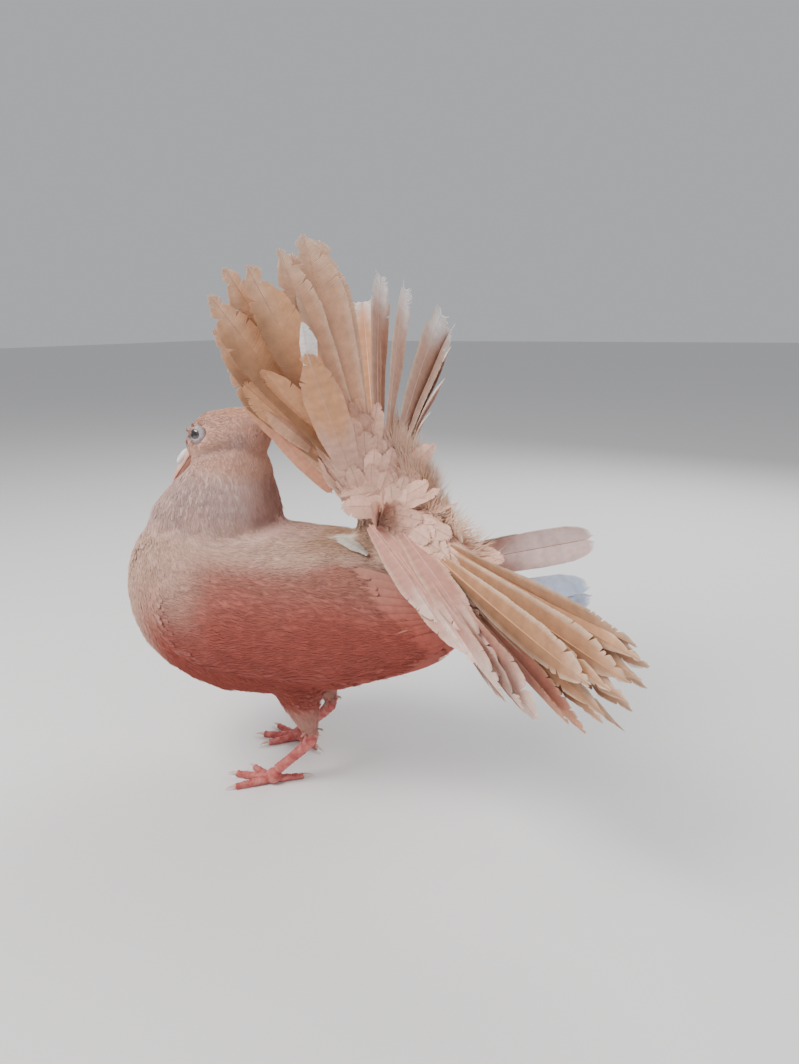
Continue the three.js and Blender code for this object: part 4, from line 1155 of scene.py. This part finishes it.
# Narrow feathers between the broad ones of the low fan, seen nearly edge-on
BETWEEN = [[162.5, -83, 114.5, 0.5, -0.6], [163, -81, 104.5, 0.5, -0.75], [159, -82, 96, 0.5, -0.7],
           [152, -85, 101, 0.45, -0.6], [150, -81, 88, 0.45, -0.7], [151, -74, 82, 0.5, -0.3]]
low += fan(BETWEEN, LEFT_START, root_reach=34, width=22.1, seed=360, twist=-0.45, tones=lambda i: LOW,
           across=LEFT_ACROSS, forward=lambda i: 2.5, shape=POINTED)
# A pale band of broad coverts along the near edge of the low fan
BAND = (([45, -24, 143], [92, -69, 107], 15), ([39, -22, 145], [100, -74, 102], 16),
        ([47, -24, 144], [108, -77, 98.5], 15), ([37, -21, 145], [79, -61, 114], 13),
        ([52, -24, 145], [98, -70, 110], 14))
for i, (root, tip, wide) in enumerate(BAND):
    form = long_feather(root, tip, [0.1, -0.9, 0.4], wide, 720 + i, twist=-0.1 * i, bow=2.5, barbs=120,
                        ragged=0.2, splits=7, shaft=0.25, clear=0.02, widths=SOFT_POINT)
    low.append((form, LOW_PALE, 720 + i))
# A narrow whitish feather in the fold between the back and the tail
fold = laid_feather([12, -7, 134.5], [24, -14, -9], 29, 5.5, 710, lift=2.2, frayed=0.5)
low.append((fold, (RUMP * 0.62, RUMP * 0.72, RUMP * 0.7, RUMP * 0.6), 710))
# Broad coverts over the left group, the first hiding the foot of the white feather
LEFT_FACE = [-0.45, -0.85, 0.25]
BROAD = (([28, -12, 161], [17.4, -47.5, 226], 18, [0.15, -0.95, 0.15], COVERT * 0.82),
         ([20, -12, 178], [-4, -46, 219], 18, LEFT_FACE, TAN * 1.1),
         ([16, -12, 176], [-15, -42, 212], 16, LEFT_FACE, TAN))
for i, (root, tip, wide, face, base) in enumerate(BROAD):
    form = long_feather(root, tip, face, wide, 750 + i, twist=0.15 * i, bow=2.5, barbs=120, ragged=0.15,
                        splits=6, shaft=0.25, frayed=0.8, widths=SOFT_POINT)
    upper.append((form, (base, TAN * 1.15, base * 1.12, base, 0.3), 750 + i))
# Two low feathers that reach the nape
NAPE_TAN = np.array([0.66, 0.30, 0.19])
TO_NAPE = (([14, -14, 166], [-21.3, -28, 204.4]), ([16, -14, 158], [-13.5, -25, 197.6]))
for i, (root, tip) in enumerate(TO_NAPE):
    form = long_feather(root, tip, LEFT_FACE, 11, 740 + i, twist=0.1, bow=2.0, barbs=80, ragged=0.12,
                        splits=5, shaft=0.2, frayed=0.8, clear=0.02, widths=SOFT_COVERT)
    upper.append((form, (NAPE_TAN, TAN * 1.1, TAN * 1.2, NAPE_TAN), 740 + i))
tail_upper = long_piece("upper_tail_feathers", upper)
tail_right = long_piece("right_tail_feathers", right)
tail_left = long_piece("left_tail_feathers", low)
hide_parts("tail_fan_upper")
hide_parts("tail_fan_right")
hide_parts("tail_fan_left")

BLADE = [(0, 0.5), (0.4, 0.84), (0.8, 1.0), (0.92, 0.96), (0.97, 0.8), (1.01, 0.55), (1.04, 0.3)]
ROUND_END = [(0, 0.5), (0.4, 0.95), (0.8, 1.0), (0.93, 0.88), (1.0, 0.62), (1.03, 0.3)]
WING_BASE = np.array([0.46, 0.20, 0.14])


PRIMARIES = 8
SECONDARIES = 11
WING_END = (140, 33, 122.5)


def wing_rows(side):
    """Primaries, and secondaries that show only where they leave the soft coverts."""
    lift = FAR_WING_LIFT if side > 0 else 0.0
    end_colour = np.array([0.44, 0.53, 0.70]) if side < 0 else np.array([0.70, 0.52, 0.49])
    hand = (WING_BASE * 0.8, end_colour, WING_BASE * 0.8, WING_BASE, 0.42 if side > 0 else 0.52)
    rows = []
    for i in range(PRIMARIES):
        inward = (i - 3.5) * 0.9
        back = (7 - i) * (4.2 + 0.8 * (7 - i))
        root = [50 - i * 1.3, side * (38.6 - inward), 97 + i * 0.4 + 0.35 * lift]
        end_x, end_y, end_z = WING_END
        tip = [end_x - back, side * (end_y - inward), end_z - 0.25 * back + (i % 2) * 0.5 - 0.5 + lift]
        form = long_feather(root, tip, np.array([0, side, 0.12]), 20, 400 + i + 20 * side, bow=1.5,
                            barbs=120, ragged=0.0, splits=1, shaft=0.35, frayed=0.1, widths=BLADE)
        rows.append((form, hand, 400 + i))
    for i in range(SECONDARIES):
        s0, s1 = 0.08 + 0.84 * i / 10, 0.06 + 0.9 * i / 10
        reach = 68 + 20 * math.sin(math.pi * (0.15 + 0.75 * i / 10))
        root = wing_point(side, 24.0, s0, -5.0)
        tip = wing_point(side, reach, s1, 0.4 + (i % 2) * 0.4)
        face = wing_normal(side, (24 + reach) / 2, (s0 + s1) / 2)
        middle = wing_point(side, (24 + reach) / 2, (s0 + s1) / 2, -2.4)
        bow = float(np.dot(middle - (root + tip) / 2, face))
        form = long_feather(root, tip, face, 15, 450 + i + 20 * side, twist=0.05, bow=bow, barbs=80,
                            ragged=0.02, splits=2, shaft=0.2, frayed=0.3, widths=ROUND_END)
        rows.append((form, None, 450 + i))
    return rows


for side, word in ((-1, "left"), (1, "right")):
    wing = long_piece(f"{word}_wing_feathers", wing_rows(side))
    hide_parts(f"wing_{word}")

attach(skin, "root")
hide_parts("torso", "neck", "head", "tail_base", "thigh_left", "thigh_right")


# Bare parts
def noise_colour(name, roughness, dark, light, scale, bump_scale, strength, distance):
    material, tree, shader = new_material(name, roughness)
    ramp = add_node(tree, "ShaderNodeValToRGB", {"Fac": noise(tree, scale, detail=4.0)})
    for element, position, colour in zip(ramp.color_ramp.elements, (0.35, 0.65), (dark, light)):
        element.position = position
        element.color = (*colour, 1)
    tree.links.new(ramp.outputs["Color"], shader.inputs["Base Color"])
    bumped(tree, shader, noise(tree, bump_scale, detail=3.0), strength, distance)
    return material


LEG_SKIN = noise_colour("scaly_leg", 0.5, (0.38, 0.075, 0.07), (0.58, 0.19, 0.165),
                        scale=260, bump_scale=900, strength=0.3, distance=0.0002)
HORN = noise_colour("claw_horn", 0.35, (0.55, 0.40, 0.32), (0.76, 0.63, 0.54),
                    scale=200, bump_scale=500, strength=0.1, distance=0.0001)
BILL_HORN = noise_colour("bill_horn", 0.38, (0.66, 0.34, 0.25), (0.80, 0.52, 0.42),
                         scale=120, bump_scale=400, strength=0.12, distance=0.0001)
CERE_SKIN = noise_colour("cere_powder", 0.85, (0.74, 0.68, 0.64), (0.88, 0.84, 0.81),
                         scale=260, bump_scale=900, strength=0.5, distance=0.0003)
LID_SKIN = noise_colour("eyelid", 0.6, (0.24, 0.19, 0.20), (0.40, 0.335, 0.35),
                        scale=260, bump_scale=900, strength=0.5, distance=0.0002)


def shown(name, form, material, slot, *replaced):
    obj = mesh_object(name, *form, smooth=True)
    obj.data.materials.append(material)
    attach(obj, "root")
    if replaced:
        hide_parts(*replaced)
    return obj


BILL = [
    [0, 3.8, 3.8, 4.4, 0], [5, 3.5, 3.5, 4.1, 0], [10, 2.9, 2.9, 3.4, 0],
    [15, 2.5, 2.3, 2.7, -0.2], [20, 2.1, 1.6, 2.0, -0.7], [24, 1.3, 0.9, 1.1, -1.6],
]
MOUTH = -0.9
MOUTH_GAP = 0.16


def bill_point(distance, height, side=0.0):
    return BILL_BASE + BILL_ALONG * distance + BILL_UP * height + np.array([0, side, 0])


def bill_half(upper_half):
    rings = []
    last = 24.0 if upper_half else 21.0
    for d in np.linspace(-2, last, 22):
        above, below, half, shift = read_table(BILL, d)
        angle = np.arange(28) / 28 * 2 * math.pi
        c, s = np.cos(angle), np.sin(angle)
        y = c * half
        h = np.where(s > 0, s * above, s * below) + shift
        edge = MOUTH + MOUTH_GAP if upper_half else MOUTH - MOUTH_GAP
        h = np.maximum(h, edge) if upper_half else np.minimum(h, edge)
        rings.append(np.array([bill_point(d, hh, yy) for hh, yy in zip(h, y)]))
    shift = read_table(BILL, last)[3]
    end = bill_point(last + 1.2, shift - 0.6) if upper_half else bill_point(last + 0.8, MOUTH - 0.8)
    return loft(rings, bill_point(-2.5, 1.0 if upper_half else -2.2), end)


shown("upper_bill", bill_half(True), BILL_HORN, "bill", "bill_upper")
shown("lower_bill", bill_half(False), BILL_HORN, "bill", "bill_lower")


def cere_form():
    """Two lobes side by side over the root of the bill."""
    parts = []
    count = 18
    for side in (-1, 1):
        rings = []
        for a in np.linspace(0.12, math.pi - 0.12, 14):
            x = -math.cos(a)
            rad = math.sin(a)
            centre = bill_point(7.5 + 5.2 * x, 2.7, side * 1.9)
            lump = 1 + 0.06 * np.sin(np.arange(count) * 1.9 + x * 5)
            rr = ring([0, 0, 0], [0, 1, 0], BILL_UP, 2.3 * rad, 1.9 * rad, 2.2 * rad, count)
            rings.append(centre + rr * lump[:, None])
        parts.append(loft(rings, bill_point(2.3, 2.7, side * 1.9), bill_point(12.7, 2.7, side * 1.9)))
    return joined(parts)


shown("cere_lobes", cere_form(), CERE_SKIN, "cere", "cere")


# Eyes, set in bare lids
def eye_material():
    material, tree, shader = new_material("eye_wet", 0.05)
    shader.inputs["Specular IOR Level"].default_value = 0.6
    shader.inputs["Coat Weight"].default_value = 1.0
    shader.inputs["Coat Roughness"].default_value = 0.03
    tree.links.new(attribute_colour(tree, "iris"), shader.inputs["Base Color"])
    return material


EYE_WET = eye_material()
PUPIL = np.array([0.010, 0.008, 0.009])
IRIS = np.array([0.075, 0.055, 0.05])
IRIS_RIM = np.array([0.02, 0.016, 0.016])
LID_STEPS = 72
LID_SECTION = [[2.45, 3.85], [2.6, 4.2], [3.0, 4.5], [3.8, 4.3],
               [4.7, 3.7], [5.3, 2.7], [5.0, 1.8], [3.4, 2.8]]
for side, word in ((-1, "left"), (1, "right")):
    centre = EYE_CENTRE * [1, side, 1]
    axis = unit([-0.2, side * 0.97, 0.06])
    helper = unit(np.cross(axis, [0, 0, 1]))
    up = np.cross(helper, axis)
    rings = []
    for a in np.linspace(0.08, math.pi - 0.08, 30):
        rings.append(ring(centre + axis * EYE_RADIUS * math.cos(a), helper, up,
                          *([EYE_RADIUS * math.sin(a)] * 3), 36))
    form = loft(rings, centre + axis * EYE_RADIUS, centre - axis * EYE_RADIUS)
    ball = shown(f"eye_{word}_ball", form, EYE_WET, "eye", f"eye_{word}")
    spread = np.arccos(np.clip(unit(form[0] - centre) @ axis, -1, 1))
    iris = over(PUPIL, IRIS, smooth_step(0.36, 0.42, spread))
    paint(ball, over(iris, IRIS_RIM, smooth_step(0.50, 0.56, spread)), "iris")
    # Bare lids round the ball, a little longer than high, wrinkled towards the rim
    rings = []
    for k in range(LID_STEPS):
        a = 2 * math.pi * k / LID_STEPS
        out = math.cos(a) * helper * 1.1 + math.sin(a) * up * 0.9
        ridge = []
        for j, (radial, high) in enumerate(LID_SECTION):
            wrinkle = 0.10 * math.sin(14 * a + 1.7 * j) + 0.08 * math.sin(23 * a + j)
            ridge.append(centre + out * (radial + 0.5 * wrinkle) + axis * (high + wrinkle))
        rings.append(ridge)
    p = np.array(rings).reshape(-1, 3)
    sides = len(LID_SECTION)
    f = []
    for k in range(LID_STEPS):
        for j in range(sides):
            k2, j2 = (k + 1) % LID_STEPS, (j + 1) % sides
            f.append((k * sides + j, k2 * sides + j, k2 * sides + j2, k * sides + j2))
    f = np.array(f)
    tri = p[f]
    middle = np.repeat(np.array(rings).mean(1), sides, 0)
    out = np.einsum("ij,ij->i", np.cross(tri[:, 1] - tri[:, 0], tri[:, 2] - tri[:, 0]), tri.mean(1) - middle)
    if out.sum() < 0:
        f = f[:, ::-1]
    shown(f"eyelids_{word}", (p, f), LID_SKIN, "cere")


# Legs: shank and toes with scutes across the front, pads under the toes
LEG_SHIFT_RIGHT = -3.0
SHANK = [[4.6, 20, 31, 3.4], [3.6, 20, 26.5, 3.4], [-0.8, 20.6, 21.2, 2.9], [-8.2, 21.6, 14.2, 2.6],
         [-14.4, 22.4, 8.4, 2.8]]
TOES = [[-32, 13.5, 2.4], [-38.5, 22, 2.6], [-34, 33.5, 2.4], [-3.5, 15, 2.2]]
BALL = np.array([-18, 23, 3.6])
SCUTE_RISE = 0.16


def leg_place(side, p):
    p = np.atleast_2d(np.asarray(p, float)) * [1, side, 1]
    if side > 0:
        p = p + [LEG_SHIFT_RIGHT, 0, 0]
    return p


def scaled_limb(line, radii, count, scute, ridge):
    """Round limb along a line with overlapping plates across its upper side."""
    line = np.asarray(line, float)
    seg = np.concatenate([[0], np.cumsum(np.linalg.norm(np.diff(line, axis=0), axis=1))])
    total = seg[-1]
    samples = max(12, int(total / scute * 6))
    at = np.linspace(0, total, samples)
    centre = np.stack([np.interp(at, seg, line[:, k]) for k in range(3)], 1)
    radius = np.interp(at, seg, radii)
    tangent = unit(np.gradient(centre, axis=0))
    rings = []
    for i in range(samples):
        side = unit(np.cross([0, 1, 0], tangent[i]))
        up = unit(np.cross(tangent[i], side))
        angle = np.arange(count) / count * 2 * math.pi
        direction = np.cos(angle)[:, None] * side + np.sin(angle)[:, None] * up
        phase = (at[i] / scute) % 1.0
        front = np.clip(direction @ np.array([-0.5, 0, 0.85]), 0, 1) ** 0.5
        swell = 1 + ridge * (phase - 0.5) * front
        knob = 1 + 0.035 * np.sin(at[i] * 2.3 + angle * 5) * (1 - front)
        rings.append(centre[i] + direction * (radius[i] * swell * knob)[:, None])
    end = centre[-1] + tangent[-1] * radius[-1] * 0.5
    return loft(rings, centre[0] - tangent[0] * radius[0] * 0.4, end)


for side, word in ((-1, "left"), (1, "right")):
    line = leg_place(side, [s[:3] for s in SHANK])
    shank = scaled_limb(line, [s[3] for s in SHANK], count=28, scute=1.9, ridge=SCUTE_RISE)
    shown(f"scaled_shank_{word}", shank, LEG_SKIN, "leg_skin", f"shank_{word}")
    toe_parts = []
    for ex, ey, thick in TOES:
        share = np.linspace(0, 1, 9)
        radii = thick * (1 - 0.32 * share) * (1 + 0.06 * np.cos(share * 4 * 2 * math.pi))
        height = np.maximum(radii * 0.96, 0.3)
        height = height + (2.6 - radii * 0.4) * np.clip(1 - share * 2.2, 0, 1) * 0.45
        toe = np.stack([BALL[0] + (ex - BALL[0]) * share, BALL[1] + (ey - BALL[1]) * share, height], 1)
        toe_parts.append(scaled_limb(leg_place(side, toe), radii, count=20, scute=1.7, ridge=SCUTE_RISE))
    joint = []
    c = leg_place(side, BALL + [1.0, 0, 0.8])[0]
    for a in np.linspace(0.15, math.pi - 0.15, 12):
        width = 4.3 * math.sin(a)
        joint.append(ring(c + [0, 0, -4.2 * math.cos(a)], [1, 0, 0], [0, 1, 0], width, width, width, 22))
    toe_parts.append(loft(joint, c - [0, 0, 4.2], c + [0, 0, 4.2]))
    p, f = joined(toe_parts)
    p[:, 2] = np.maximum(p[:, 2], 0.02)
    shown(f"scaled_foot_{word}", (p, f), LEG_SKIN, "leg_skin", f"foot_{word}")
    for i, (ex, ey, _) in enumerate(TOES):
        end = np.array([ex, ey, 0.0])
        out = unit([ex - BALL[0], ey - BALL[1], 0.0])
        share = np.linspace(0, 1, 14)
        reach = -0.8 + 7.0 * share
        height = 1.6 + 0.9 * np.sin(share * 2.4) - 1.55 * share ** 2
        radius = 1.2 * (1 - share) ** 0.75 + 0.06
        rings = []
        for a, h, rad in zip(reach, height, radius):
            turn = ring(end + out * a + [0, 0, h], np.cross(out, [0, 0, 1]), [0, 0, 1],
                        rad * 0.85, rad, rad * 0.9, 14)
            rings.append(leg_place(side, turn))
        tip = leg_place(side, end + out * 6.5 + [0, 0, height[-1] - 0.15])[0]
        root = leg_place(side, end + out * -1.1 + [0, 0, 1.6])[0]
        p, f = loft(rings, root, tip)
        p[:, 2] = np.maximum(p[:, 2], 0.03)
        shown(f"nail_{word}_{i + 1}", (p, f), HORN, "claw", f"claw_{word}_{i + 1}")

# Floor and light
FLOOR_CORNERS = [[-6000, -900, 0], [6000, -900, 0], [6000, 12000, 0], [-6000, 12000, 0]]
floor = mesh_object("floor", np.array(FLOOR_CORNERS, float), np.array([[0, 1, 2, 3]]))
floor_material, _, floor_shader = new_material("pale_floor", 0.8)
floor_shader.inputs["Base Color"].default_value = (0.74, 0.73, 0.72, 1)
floor.data.materials.append(floor_material)

world = bpy.data.worlds.new("studio")
bpy.context.scene.world = world
world.use_nodes = True
sky = world.node_tree.nodes["Background"].inputs
sky["Color"].default_value = (0.93, 0.95, 1.0, 1)
sky["Strength"].default_value = 0.5


def soft_light(name, place, target, size, power, colour):
    data = bpy.data.lights.new(name, "AREA")
    data.size = size
    data.energy = power
    data.color = colour
    obj = bpy.data.objects.new(name, data)
    obj.location = metres(place)
    direction = Vector(metres(target)) - Vector(metres(place))
    obj.rotation_euler = direction.to_track_quat("-Z", "Y").to_euler()
    bpy.context.collection.objects.link(obj)


soft_light("key", (-450, -450, 900), (0, 0, 120), size=0.6, power=15, colour=(1.0, 0.98, 0.95))
soft_light("fill", (700, -500, 500), (20, 0, 120), size=0.9, power=2.5, colour=(0.95, 0.97, 1.0))
soft_light("rim", (300, 700, 700), (20, 0, 150), size=0.7, power=7, colour=(1.0, 1.0, 1.0))

for form in BODY_LEAVES + FACE_LEAVES + WISPS + FACE_WISPS + COVERT_WISPS + DOWN_WISPS:
    bpy.data.objects.remove(form)
